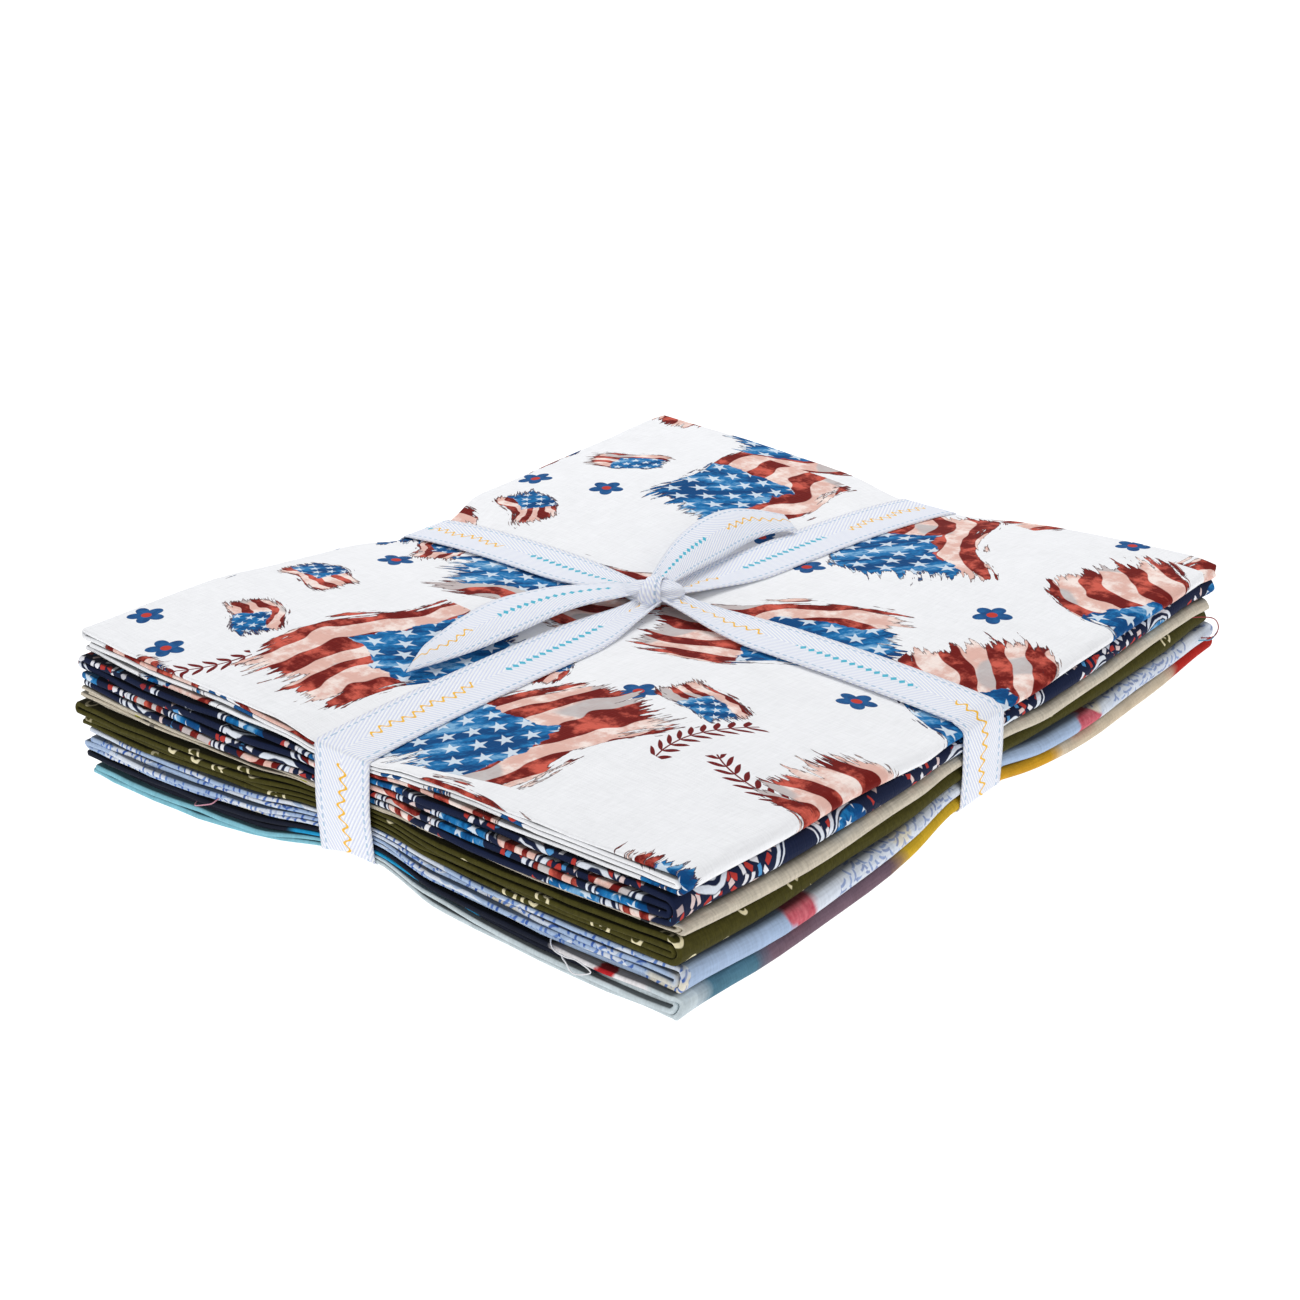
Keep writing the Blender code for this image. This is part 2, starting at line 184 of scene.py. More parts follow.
CORNER_TOP = dict(front=(0.0470, 0.0455), back=(0.0305, 0.0345))  # at the left and at the right
CROWN = 0.0012
SIDES = {
    "front": dict(sink=0.0050, sink_fall=0.011, lift=0.0095, press=0.0010, swell=0.0005),
    "back": dict(sink=0.0085, sink_fall=0.055, lift=0.0060, press=0.0025, swell=0.0010),
    "left": dict(sink=0.0095, sink_fall=0.035, lift=0.0075, press=0.0030, swell=0.0005),
    "right": dict(sink=0.0065, sink_fall=0.038, lift=0.0065, press=0.0012, swell=0.0010),
}
MIDDLE = dict(sink=0.0015, lift=0.0040)
SETTLE = 0.040  # the length in which a side's squeeze turns into the middle's
SOFT_START = 0.003
HOLD = 0.0115  # the cloth lies flat under the ribbon
LIFT_ASIDE = 0.0055  # the lower band pulls hardest at its right edge
LIFT_HOLD = 0.0050  # over less than the ribbon's width
# Away from the ribbon, the length in which the bottom comes down
LIFT_FALL = dict(left=0.030, right=0.040, front=0.038, back=0.020)
TIED = 0.034  # from here on the edges stand as they like
CREASED = 0.030  # and the top may be creased
CORNER_ROUND = 0.0012
EDGE_FROM = dict(x=0.073, y=0.100)  # where the uneven edges begin
ARM_X = dict(middle=-0.0025, curve=0.0015, slant=0.0053)
ARM_Y = dict(middle=-0.0040, curve=0.0070, slant=-0.0020)

# Soft troughs and ridges in the top, from one place to another: how wide they are and how high or deep
CREASES = [
    dict(start=(-0.010, -0.010), end=(-0.075, -0.085), width=0.0100, height=0.0006),
    dict(start=(0.010, -0.012), end=(0.085, -0.100), width=0.0120, height=0.0007),
    dict(start=(0.012, 0.010), end=(0.095, 0.090), width=0.0110, height=-0.0006),
    dict(start=(-0.012, 0.012), end=(-0.090, 0.110), width=0.0120, height=0.0006),
    dict(start=(0.055, -0.120), end=(0.110, -0.085), width=0.0090, height=-0.0007),
    dict(start=(0.030, -0.138), end=(0.034, -0.060), width=0.0070, height=-0.0005),
    dict(start=(-0.034, -0.138), end=(-0.040, -0.070), width=0.0080, height=-0.0006),
    dict(start=(0.112, 0.036), end=(0.050, 0.048), width=0.0080, height=-0.0006),
    dict(start=(0.112, -0.034), end=(0.060, -0.040), width=0.0080, height=-0.0006),
    dict(start=(-0.112, 0.034), end=(-0.055, 0.042), width=0.0080, height=-0.0005),
    dict(start=(0.060, 0.135), end=(0.080, 0.070), width=0.0100, height=0.0005),
    dict(start=(-0.118, 0.040), end=(-0.112, 0.118), width=0.0160, height=-0.0024),
    dict(start=(-0.118, -0.075), end=(-0.118, -0.032), width=0.0150, height=-0.0018),
    dict(start=(0.112, 0.142), end=(0.119, 0.136), width=0.0090, height=-0.0030),
]

# %% The form of the bundle: functions of the place


def ease(value):
    value = np.clip(value, 0, 1)
    return value * value * (3 - 2 * value)


def share_of(position, half):
    """A position from -half to half as a share from 0 to 1."""
    return 0.5 + position / (2 * half)


def between(share, low, high):
    return low * (1 - share) + high * share


def fade(distance, start, end):
    """1 up to start, falling softly to 0 at end."""
    return 1 - ease((np.abs(distance) - start) / (end - start))


def along(position, half, low, middle, high):
    """A value along a ribbon's line: low at one side of the bundle, high at the other."""
    near = (low - middle) * np.exp(-(half + position) / SETTLE)
    far = (high - middle) * np.exp(-(half - position) / SETTLE)
    return middle + near + far


def spring(distance, fall, hold=HOLD):
    """1 under the ribbon, then falling as a bent stack springs back: fast at first, slower further off."""
    away = np.clip(np.abs(distance) - hold, 0, None)
    return np.clip(1.05 * np.exp(-(away**2) / (fall * (away + SOFT_START))) - 0.05, 0, None)


def squeeze(x, y, kind):
    """How far the ribbon moves the top (sink) or the bottom (lift) at a place."""
    front_back = along(y, HALF_Y, SIDES["front"][kind], MIDDLE[kind], SIDES["back"][kind])
    left_right = along(x, HALF_X, SIDES["left"][kind], MIDDLE[kind], SIDES["right"][kind])
    if kind == "lift":
        fall_x = np.where(x < LIFT_ASIDE, LIFT_FALL["left"], LIFT_FALL["right"])
        fall_y = np.where(y < 0, LIFT_FALL["front"], LIFT_FALL["back"])
        front_back = front_back * spring(x - LIFT_ASIDE, fall_x, LIFT_HOLD)
        return np.maximum(front_back, left_right * spring(y, fall_y))
    fall_x, fall_y = (
        between(share_of(position, half), SIDES[low]["sink_fall"], SIDES[high]["sink_fall"])
        for position, half, low, high in ((x, HALF_X, "left", "right"), (y, HALF_Y, "front", "back"))
    )
    return np.maximum(front_back * spring(x, fall_y), left_right * spring(y, fall_x))


def crease(x, y, row):
    """One soft trough or ridge: full along its line, gone a width away."""
    (x1, y1), (x2, y2) = row["start"], row["end"]
    length = math.dist(row["start"], row["end"])
    way = ((x - x1) * (x2 - x1) + (y - y1) * (y2 - y1)) / length
    aside = ((x - x1) * (y2 - y1) - (y - y1) * (x2 - x1)) / length
    width = row["width"]
    ends = ease((way + width) / (2 * width)) * ease((length + width - way) / (2 * width))
    return row["height"] * ends * np.exp(-((aside / width) ** 2))


def top(x, y):
    u, v = share_of(x, HALF_X), share_of(y, HALF_Y)
    level = between(v, between(u, *CORNER_TOP["front"]), between(u, *CORNER_TOP["back"]))
    crown_x = np.sin(np.pi * np.clip((np.abs(x) - HOLD) / (HALF_X - HOLD), 0, 1))
    crown_y = np.sin(np.pi * np.clip((np.abs(y) - HOLD) / (HALF_Y - HOLD), 0, 1))
    relief = sum(crease(x, y, row) for row in CREASES)
    relief = relief * (1 - fade(x, HOLD, CREASED)) * (1 - fade(y, HOLD, CREASED))
    return level + CROWN * crown_x * crown_y + relief - squeeze(x, y, "sink")


def bottom(x, y):
    return squeeze(x, y, "lift")


def bend_lines(x, y):
    """Moves the middle of the bundle sideways, so that the ribbon's arms run as they do."""
    u = x / HALF_X
    v = y / HALF_Y
    across = ARM_X["middle"] + ARM_X["curve"] * np.abs(v) + ARM_X["slant"] * v
    down = ARM_Y["middle"] + ARM_Y["curve"] * np.abs(u) + ARM_Y["slant"] * u
    return x + across * (1 - u * u), y + down * (1 - v * v)


print("top over the middle:", round(float(top(0.0, 0.0)) * 1000, 1), "mm")

# %% [markdown]
# ## Which cloth is where
#
# Each cloth takes a share of the stack's height, and near the front edge the shares differ, because some
# cuts are folded loosely there and others lie further back. The reach of each edge differs too: a stack made
# by hand is never flush. Where the ribbon goes over an edge, it presses all of them in line. The top sheet
# of the white cut was laid a little askew and hangs over the others at the far right corner.

# %% Which cloth is where
# The front and the back edge reach out from the plain grid by two values, at their left and right ends.
CLOTHS = {
    "cloth_1_colour_blocks": dict(
        share=1.00, front_share=(1.15, 1.18, 1.20), nose_up=True, overhang=0.0,
        left=0.0005, right=-0.0004, front=(0.0040, -0.0005), back=(0.0, 0.0050),
    ),
    "cloth_2_pale_blue": dict(
        share=1.05, front_share=(1.10, 1.12, 1.15), nose_up=False, overhang=0.0,
        left=-0.0005, right=0.0004, front=(0.0055, -0.0010), back=(-0.0010, 0.0020),
    ),
    "cloth_3_olive": dict(
        share=1.05, front_share=(1.08, 1.22, 1.35), nose_up=True, overhang=0.0,
        left=0.0025, right=-0.0013, front=(0.0055, 0.0), back=(-0.0025, 0.0010),
    ),
    "cloth_4_natural": dict(
        share=0.85, front_share=(0.75, 0.15, 0.42), nose_up=False, overhang=0.0,
        left=0.0010, right=0.0, front=(0.0035, -0.0022), back=(-0.0015, -0.0015),
    ),
    "cloth_5_navy": dict(
        share=1.15, front_share=(1.38, 1.80, 1.38), nose_up=True, overhang=0.0,
        left=0.0010, right=-0.0005, front=(0.0040, 0.0012), back=(0.0010, 0.0025),
    ),
    "cloth_6_white_print": dict(
        share=0.90, front_share=(1.00, 0.96, 0.92), nose_up=True, overhang=0.0035,
        left=0.0020, right=0.0005, front=(0.0015, 0.0), back=(0.0, 0.0010),
    ),
}
FRONT_DEPTH = 0.014  # how far in from the front edge the shares settle


def slot_at(name, x, y):
    """The bottom and the height of one cloth's slot at a place."""
    u = np.clip(share_of(x, HALF_X), 0, 1)
    near_front = np.exp(-np.clip(HALF_Y + y, 0, None) / FRONT_DEPTH)
    shares = {}
    for key, row in CLOTHS.items():
        front_share = np.interp(u, (0, 0.5, 1), row["front_share"])  # at the left, the ribbon and the right
        shares[key] = row["share"] + (front_share - row["share"]) * near_front
    total = sum(shares.values())
    start = sum(shares[key] for key in list(CLOTHS)[: list(CLOTHS).index(name)])
    low = bottom(x, y)
    room = top(x, y) - low + GAP
    return low + start / total * room, shares[name] / total * room - GAP


def edge_shift(x, y, row):
    """Moves a cloth's edges to where they stand: uneven, but pressed flush by the ribbon."""
    to_x = ease((np.abs(x) - EDGE_FROM["x"]) / (HALF_X - EDGE_FROM["x"]))
    to_y = ease((np.abs(y) - EDGE_FROM["y"]) / (HALF_Y - EDGE_FROM["y"]))
    tied_x = fade(y, HOLD, TIED)
    tied_y = fade(x, HOLD, TIED)
    waist_x = np.sin(np.pi * np.abs(y) / HALF_Y)
    waist_y = np.sin(np.pi * np.clip(np.abs(x) / HALF_X, 0, 1))

    def side_out(key, reach, waist, tied):
        """How far out one side stands: its own reach where it is free, pressed in where it is tied."""
        return (reach + SIDES[key]["swell"] * waist) * (1 - tied) - SIDES[key]["press"] * tied

    u = np.clip(share_of(x, HALF_X), 0, 1)
    right, left = (side_out(key, row[key], waist_x, tied_x) for key in ("right", "left"))
    back, front = (side_out(key, between(u, *row[key]), waist_y, tied_y) for key in ("back", "front"))
    out_x = np.where(x > 0, right, left) - CORNER_ROUND * to_y
    out_y = np.where(y > 0, back, front) - CORNER_ROUND * to_x
    return x + np.sign(x) * out_x * to_x, y + np.sign(y) * out_y * to_y


def place(x, y, level, name):
    """Takes points of a cloth from the plain grid to the bundle. level is 0 at its bottom, 1 at its top."""
    x, y = edge_shift(x, y, CLOTHS[name])
    low, room = slot_at(name, x, y)
    across, down = bend_lines(x, y)
    return np.stack([across + ORIGIN_SHIFT[0], down + ORIGIN_SHIFT[1], low + room * level], axis=-1)


print("cloths, from the bottom:", ", ".join(CLOTHS))

# %% [markdown]
# ## Folding in four
#
# To fold a cloth in four is to halve it twice. Seen from the end, that is one line: it comes in at a loose
# edge, goes round the outer fold, back over the whole width, round a narrow fold, back inside the first pair
# and out again at the other loose edge. Every cut here is folded that way twice, first across its width and
# then along its length, so the same function makes both folds. It returns samples with the distance along
# the flat cloth, the position and level in the fold, and which way is out.

# %% Folding in four
PLIES = 4
FINE_EDGE = 0.012  # the grid is finer this near to a fold
TURN_STEPS = dict(outer=10, side=6, inner=6)


def stations(half, steps):
    """Positions from one side to the other; steps are (as far as, step), from the middle outwards."""
    outward = [0.0]
    for reach, step in steps:
        start, end = outward[-1], half - FINE_EDGE if reach is None else min(reach, half)
        count = max(round((end - start) / step), 1)
        outward += [start + (end - start) * (i + 1) / count for i in range(count)]
    return [-value for value in reversed(outward[1:])] + outward


def fold_in_four(half, pitch, insets, steps):
    """A line folded in four, as a list of samples.

    The outer fold is at +half. Levels are in units of length, centred on 0, a pitch apart. insets are how far
    the two loose ends stop short. Each sample is (distance, position, level, out_position, out_level, ply).
    """
    outer, inner = 1.5 * pitch, 0.5 * pitch
    level = [-outer, -inner, inner, outer]
    fold, nose = half - outer, half - inner
    run = [value for value in stations(half, steps) if -nose < value < fold]
    samples = []

    def straight(positions, height, out, ply):
        samples.extend((position, height, 0.0, out, ply) for position in positions)

    def turn(centre, centre_level, radius, start, end, out_sign, plies, count):
        for i in range(count + 1):
            angle = math.radians(start + (end - start) * i / count)
            cosine, sine = math.cos(angle), math.sin(angle)
            spot = (centre + radius * cosine, centre_level + radius * sine)
            samples.append((*spot, out_sign * cosine, out_sign * sine, between(i / count, *plies)))

    ends = [-half + inset for inset in insets]
    inside = [[value for value in run if value > end + 0.0005] for end in ends]
    straight([ends[0]] + inside[0], level[0], -1, 0)
    turn(fold, 0, outer, -90, 90, 1, (0, 3), TURN_STEPS["outer"])
    straight(reversed(run), level[3], 1, 3)
    turn(-nose, (level[2] + level[3]) / 2, inner, 90, 270, 1, (3, 2), TURN_STEPS["side"])
    straight(run, level[2], -1, 2)
    turn(fold, 0, inner, 90, -90, -1, (2, 1), TURN_STEPS["inner"])
    straight(inside[1][::-1] + [ends[1]], level[1], 1, 1)

    distance, result = 0.0, []
    for i, sample in enumerate(samples):
        if i:
            distance += math.dist(sample[:2], samples[i - 1][:2])
        result.append((distance, *sample))
    return result


# %% [markdown]
# ## Uneven edges and painted shade in the crevices
#
# Small differences between the layers keep the edges from looking like a printed block. Each layer's fold
# reaches a little more or less far, by a random step and in slow waves, and the far right corner of the
# white cut's top layer hangs over the others.
#
# Where one fold lies on the next there is a crevice that light hardly enters. An attribute named tucked is 1
# there and 0 where the cloth is open to the room, and the materials darken the cloth by it: painted shade.

# %% Uneven edges and painted shade in the crevices
NOMINAL_HEIGHT = 0.007  # a cloth's height in the plain grid
LAYER_PITCH = NOMINAL_HEIGHT / PLIES
EDGE_DEPTH = 0.022  # how far in the unevenness of an edge reaches
WRAP_DEPTH = 0.030
OVERHANG_DEPTH = 0.040
TUCK_FROM = 0.90  # from this steepness a fold's side dips into the crevice
UNEVEN = dict(front=(-0.0012, 0.0007), back=(-0.0016, 0.0006), left=(-0.0014, 0.0006))
WAVES = dict(  # the length and height of each wave
    front=((0.110, 0.0004), (0.047, 0.0003), (0.019, 0.00015)),
    back=((0.090, 0.0005), (0.041, 0.0003)),
    left=((0.100, 0.0005),),
    right=((0.120, 0.0005), (0.052, 0.0002)),
    between=((0.130, 0.10), (0.060, 0.06)),
)


def layer_values(ply, values):
    """A value for each of the four layers, blended where a fold leads from one layer to another."""
    return np.interp(ply, range(PLIES), values)


def waves(position, ply, seed, sizes):
    """Slow waves along an edge, different for each layer."""
    total = 0
    for i, (length, height) in enumerate(sizes):
        phases = [2.4 * math.sin(seed * 3.7 + layer * 5.1 + i * 2.9) for layer in range(PLIES)]
        total = total + height * np.sin(2 * np.pi * position / length + layer_values(ply, phases) + seed + i)
    return total


def near_edge(position, half, depth):
    """1 at the edge at half, falling to 0 at a depth further in."""
    return ease((position - (half - depth)) / depth)


def roughen(x, y, layer, seed, overhang):
    """Moves the edges of a cloth's layers a little, except under the ribbon."""
    rng = np.random.default_rng(seed)
    top_layer = layer_values(layer, [0, 0, 0, overhang])

    def reach(side, position, seed):
        steps = rng.uniform(*UNEVEN[side], PLIES)
        return layer_values(layer, steps) + waves(position, layer, seed, WAVES[side])

    free = 1 - fade(x, HOLD, TIED)
    y = y - near_edge(-y, HALF_Y, EDGE_DEPTH) * free * reach("front", x, seed)
    far = near_edge(y, HALF_Y, EDGE_DEPTH)
    y = y + far * free * reach("back", x, seed + 2)
    y = y + far * near_edge(x, HALF_X, OVERHANG_DEPTH) * top_layer
    free = 1 - fade(y, HOLD, TIED)
    x = x - near_edge(-x, HALF_X, EDGE_DEPTH) * free * reach("left", y, seed)
    wrap = near_edge(x, HALF_X, WRAP_DEPTH) * free
    x = x + wrap * waves(y, 0 * layer, seed + 4, WAVES["right"])
    return x + wrap * near_edge(y, HALF_Y, OVERHANG_DEPTH) * top_layer / 2, y


def tucked(name, facing, height):
    """Where the materials paint crevice shade: 1 where a fold lies on its neighbour, but not on the stack's
    own top and bottom.
    """
    lowest, *_, topmost = CLOTHS
    open_top = (name == topmost) & (facing > 0) & (height > 0.75 * NOMINAL_HEIGHT)
    open_bottom = (name == lowest) & (facing < 0) & (height < 0.25 * NOMINAL_HEIGHT)
    steep = ease((np.abs(facing) - TUCK_FROM) / (1 - TUCK_FROM))
    return np.where(open_top | open_bottom, 0.0, steep)


# %% [markdown]
# ## Laying a cut in the bundle
#
# bmesh makes the flat cloth as a grid with as many lines as the folds need. Each point then gets its place:
# the fold along the length gives a line and a way out from it, the fold across the width says how far out,
# and place() bends the result into the stack. The UV map keeps each point's place on the flat cloth, in
# metres.

# %% Laying a cut in the bundle
SHEET = 0.00017  # one ply of quilting cotton, as pressed in the bundle
PLY_PITCH = 0.0004
FOLD_STEPS = ((0.010, 0.010), (0.038, 0.0040), (None, 0.0100), (1.0, 0.0030))
LENGTH_INSETS = (0.0015, 0.0034)
WIDTH_INSETS = (0.0012, 0.0028)
PUFF = 0.16  # how much thicker a fold is than the plies behind it
PUFF_DEPTH = 0.004


def set_flat(faces, uv_layer, marks):
    """Smooths faces and gives their corners the places that marks holds for each point."""
    for face in faces:
        face.smooth = True
        for loop in face.loops:
            loop[uv_layer].uv = marks[loop.vert]


def make_cloth(name, seed):
    row = CLOTHS[name]
    length_fold = fold_in_four(HALF_X - 1.5 * PLY_PITCH, LAYER_PITCH, LENGTH_INSETS, FOLD_STEPS)
    width_fold = fold_in_four(HALF_Y - SHEET / 2, PLY_PITCH, WIDTH_INSETS, FOLD_STEPS)
    bm = bmesh.new()
    uv_layer = bm.loops.layers.uv.new("flat")
    bmesh.ops.create_grid(bm, x_segments=len(width_fold) - 1, y_segments=len(length_fold) - 1, size=1)
    grid = np.array([vert.co for vert in bm.verts])
    i = np.rint((grid[:, 0] + 1) / 2 * (len(width_fold) - 1)).astype(int)
    j = np.rint((grid[:, 1] + 1) / 2 * (len(length_fold) - 1)).astype(int)
    across, back_y, out, _, side, _ = np.array(width_fold)[i].T
    down, x, level, out_x, out_z, layer = np.array(length_fold)[j].T
    x, y = roughen(x, -back_y, layer, seed, row["overhang"])  # the outer fold of the width is at the front

    free = 1 - fade(x, HOLD, TIED)
    out = out * (1 + PUFF * np.exp(-(HALF_Y + y).clip(0) / PUFF_DEPTH) * free)
    height = level + out * out_z + NOMINAL_HEIGHT / 2
    stir = waves(x * 0.7 + y * 0.5, layer, seed, WAVES["between"])
    height = height + LAYER_PITCH * stir * np.sin(np.pi * height / NOMINAL_HEIGHT) * free
    facing = side * out_z  # 1 where the sheet faces up, -1 where it faces down
    if not row["nose_up"]:
        height, facing = NOMINAL_HEIGHT - height, -facing
    for vert, point in zip(bm.verts, place(x + out * out_x, y, height / NOMINAL_HEIGHT, name)):
        vert.co = point
    set_flat(bm.faces, uv_layer, dict(zip(bm.verts, zip(across, down))))
    cloth = add_piece(f"{name}_folded", bm, SHEET)
    # tucked holds the share of painted crevice shade that the cloth materials put at each point
    mark = cloth.data.attributes.new("tucked", "FLOAT", "POINT")
    mark.data.foreach_set("value", tucked(name, facing, height))
    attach(cloth, "root")
    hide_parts(name)
    print(name, "points:", len(mark.data), "flat:", round(across.max(), 3), "x", round(down.max(), 3), "m")
    return cloth


cloths = {name: make_cloth(name, number) for number, name in enumerate(CLOTHS, start=1)}

# %% [markdown]
# ## The ribbon's path
#
# The ribbon is one strip of twill, but on the bundle it reads as two bands that cross, a knot and two free
# ends. Each band follows the stack's skin, so it is laid over the same functions: along the top, round a
# small bend, down the side and back underneath. Towards the knot it is gathered narrower, lifts off the
# cloth and takes lengthwise pleats, as a flat ribbon does when it is pulled into a knot.

# %% The ribbon's path
RIBBON_WIDTH = 0.021
RIBBON_SHEET = 0.0004
RIBBON_CLEAR = 0.0004  # from the cloth to the middle of the ribbon
ARM_LIFT = 0.0036  # how far a band has left the cloth at the knot
ARM_RISE_FROM = 0.045
GATHERED_WIDTH = 0.0085
PLEATS = dict(count=2.5, height=0.0007, reach=0.034)
PLEATS_START = dict(along_x=2.2, along_y=0.6)  # so that the two bands' pleats differ
CROSSING = 0.0005  # one band's extra height where the two bands cross
TOP_ROWS = dict(step=0.0024, inset=0.0050)
UNDER_ROWS = dict(step=0.0060, inset=0.0060)
BEND_STEP = 15  # degrees
DROP_SHARES = (0.15, 0.35, 0.5, 0.65, 0.85)  # of a side's height
BEND = dict(front=0.0008, back=0.0008, left=0.0016, right=0.0034)
SIDE_BULGE = dict(front=0.0009, back=0.0004, left=0.0004, right=0.0003)
ACROSS = np.linspace(-0.5, 0.5, 13)
UNDER, OVER = list(CLOTHS)[0], list(CLOTHS)[-1]


def band_path(along_y):
    """Samples round the bundle: position, level, cloth, way out in degrees, and outward bulge."""
    half = HALF_Y if along_y else HALF_X
    far, near = ("back", "front") if along_y else ("right", "left")

    def run(name, level, angle, rows, way):
        reach = half - rows["inset"]
        positions = np.arange(-reach, reach + 0.0005, rows["step"]) * way
        return [(position, level, name, angle, 0.0) for position in positions]

    def bend(name, angles, radius, sign):
        middle = NOMINAL_HEIGHT - radius if name == OVER else radius
        points = []
        for angle in angles:
            turn = math.radians(angle)
            level = (middle + radius * math.sin(turn)) / NOMINAL_HEIGHT
            points.append((sign * (half - radius + radius * math.cos(turn)), level, name, angle, 0.0))
        return points

    def side(key, sign):
        bulges = [(share, SIDE_BULGE[key] * math.sin(math.pi * share)) for share in DROP_SHARES]
        drop = [(sign * half, share, None, 0, bulge) for share, bulge in bulges]
        over = bend(OVER, range(90, -1, -BEND_STEP), BEND[key], sign)
        return over + drop + bend(UNDER, range(0, -91, -BEND_STEP), BEND[key], sign)

    under = run(UNDER, 0.0, -90, UNDER_ROWS, -1)
    return run(OVER, 1.0, 90, TOP_ROWS, 1) + side(far, 1) + under + side(near, -1)[::-1]


def band_points(along_y, step):
    """Rows of points across a band; step is its extra height where the bands cross."""
    rows = []
    for position, level, name, angle, bulge in band_path(along_y):
        distance = abs(position)
        on_top = name == OVER and level == 1.0
        width, lift, pleat = RIBBON_WIDTH, RIBBON_CLEAR, 0.0
        if on_top:
            width = GATHERED_WIDTH + (RIBBON_WIDTH - GATHERED_WIDTH) * float(ease(distance / ARM_RISE_FROM))
            lift += ARM_LIFT * max(0.0, 1 - distance / ARM_RISE_FROM) ** 2 + step
            pleat = PLEATS["height"] * float(1 - ease(distance / PLEATS["reach"]))
        elif name == UNDER and level == 0.0:
            lift += step
        across = ACROSS * width
        x, y = (across, position + 0 * across) if along_y else (position + 0 * across, across)
        if name is None:
            high, low = place(x, y, 0.5, OVER), place(x, y, 0.5, UNDER)
            points = high * (1 - level) + low * level
        else:
            points = place(x, y, level, name)
        sign = 1 if position > 0 else -1
        out = (lift + bulge) * math.cos(math.radians(angle)) * sign
        up = lift * math.sin(math.radians(angle))
        phase = PLEATS_START["along_y" if along_y else "along_x"]
        ridge = pleat * np.sin(2 * np.pi * PLEATS["count"] * ACROSS + phase)
        shift = (0, out, up) if along_y else (out, 0, up)
        points = points + np.array(shift) + np.stack([0 * ridge, 0 * ridge, ridge], axis=-1)
        rows.append(points)
    return rows


# %% [markdown]
# ## Strips of ribbon
#
# Every stretch of ribbon is the same thing: a grid whose rows are moved onto a path. strip() makes one and
# notes the real distance along and across the ribbon as its UV map, so that the woven herringbone has the
# same size everywhere, also on the free ends. The free ends are read from a short table of creases.

# %% Strips of ribbon


def strip(bm, rows, closed=False, start=0.0, way=1, shows=(0.0, 1.0)):
    """Adds a strip to bm, with UVs in metres; shows is the share of the width that isn't folded away."""
    uv_layer = bm.loops.layers.uv["flat"]
    rows = [np.asarray(row) for row in rows]
    if closed:
        rows = rows + [rows[0]]
    columns = len(rows[0])
    middle = [row[columns // 2] for row in rows]
    distance = [0.0]
    for before, after in zip(middle, middle[1:]):
        distance.append(distance[-1] + float(np.linalg.norm(after - before)))
    grid = bmesh.ops.create_grid(bm, x_segments=columns - 1, y_segments=len(rows) - 1, size=1)["verts"]
    marks = {}
    for vert in grid:
        column = round((vert.co.x + 1) / 2 * (columns - 1))
        row = round((vert.co.y + 1) / 2 * (len(rows) - 1))
        share = shows[0] + (shows[1] - shows[0]) * column / (columns - 1)
        marks[vert] = (share * RIBBON_WIDTH, start + way * distance[row])
        vert.co = rows[row][column]
    set_flat({face for vert in grid for face in vert.link_faces}, uv_layer, marks)
    if closed:
        bmesh.ops.remove_doubles(bm, verts=grid, dist=1e-6)
    return distance[-1]


TAILS = {
    "front": [
        dict(right=(-0.0040, -0.0070), left=(-0.0080, -0.0040), lifts=(0.0046, 0.0056)),
        dict(right=(-0.0085, -0.0160), left=(-0.0165, -0.0080), lifts=(0.0044, 0.0050)),
        dict(right=(-0.0125, -0.0270), left=(-0.0265, -0.0140), lifts=(0.0042, 0.0034)),
        dict(right=(-0.0150, -0.0370), left=(-0.0330, -0.0260), lifts=(0.0034, 0.0026)),
        dict(right=(-0.0160, -0.0520), left=(-0.0355, -0.0450), lifts=(0.0026, 0.0024)),
        dict(right=(-0.0172, -0.0690), left=(-0.0335, -0.0640), lifts=(0.0020, 0.0021)),
        dict(right=(-0.0192, -0.0830), left=(-0.0300, -0.0790), lifts=(0.0017, 0.0020)),
        dict(right=(-0.0220, -0.0970), left=(-0.0285, -0.0830), lifts=(0.0016, 0.0022)),
    ],
    "back": [
        dict(right=(-0.0030, -0.0020), left=(-0.0090, -0.0010), lifts=(0.0046, 0.0054)),
        dict(right=(-0.0040, 0.0080), left=(-0.0140, 0.0100), lifts=(0.0046, 0.0068)),
        dict(right=(-0.0055, 0.0200), left=(-0.0195, 0.0250), lifts=(0.0038, 0.0078)),
        dict(right=(-0.0080, 0.0360), left=(-0.0240, 0.0430), lifts=(0.0028, 0.0080)),
        dict(right=(-0.0105, 0.0520), left=(-0.0252, 0.0590), lifts=(0.0024, 0.0072)),
        dict(right=(-0.0105, 0.0640), left=(-0.0220, 0.0700), lifts=(0.0022, 0.0055)),
        dict(right=(-0.0070, 0.0740), left=(-0.0160, 0.0790), lifts=(0.0020, 0.0034)),
    ],
}
TAIL_ROWS = 56
TAIL_CROWN = 0.0012
TAIL_GATHERED = 0.22  # the share of a free end that is still gathered by the knot
TAIL_PLEATS = dict(count=2.0, height=0.0008)


def through(points, share):
    """A smooth curve through a short list of points, at a share from 0 to 1 of the way."""
    spot = share * (len(points) - 1)
    i = min(int(spot), len(points) - 2)
    t = spot - i
    last = len(points) - 1
    before, start, end, after = (points[min(max(k, 0), last)] for k in (i - 1, i, i + 1, i + 2))
    slope_in, slope_out = (end - before) / 2, (after - start) / 2
    return (
        start * (2 * t**3 - 3 * t**2 + 1) + slope_in * (t**3 - 2 * t**2 + t)
        + end * (3 * t**2 - 2 * t**3) + slope_out * (t**3 - t**2)
    )


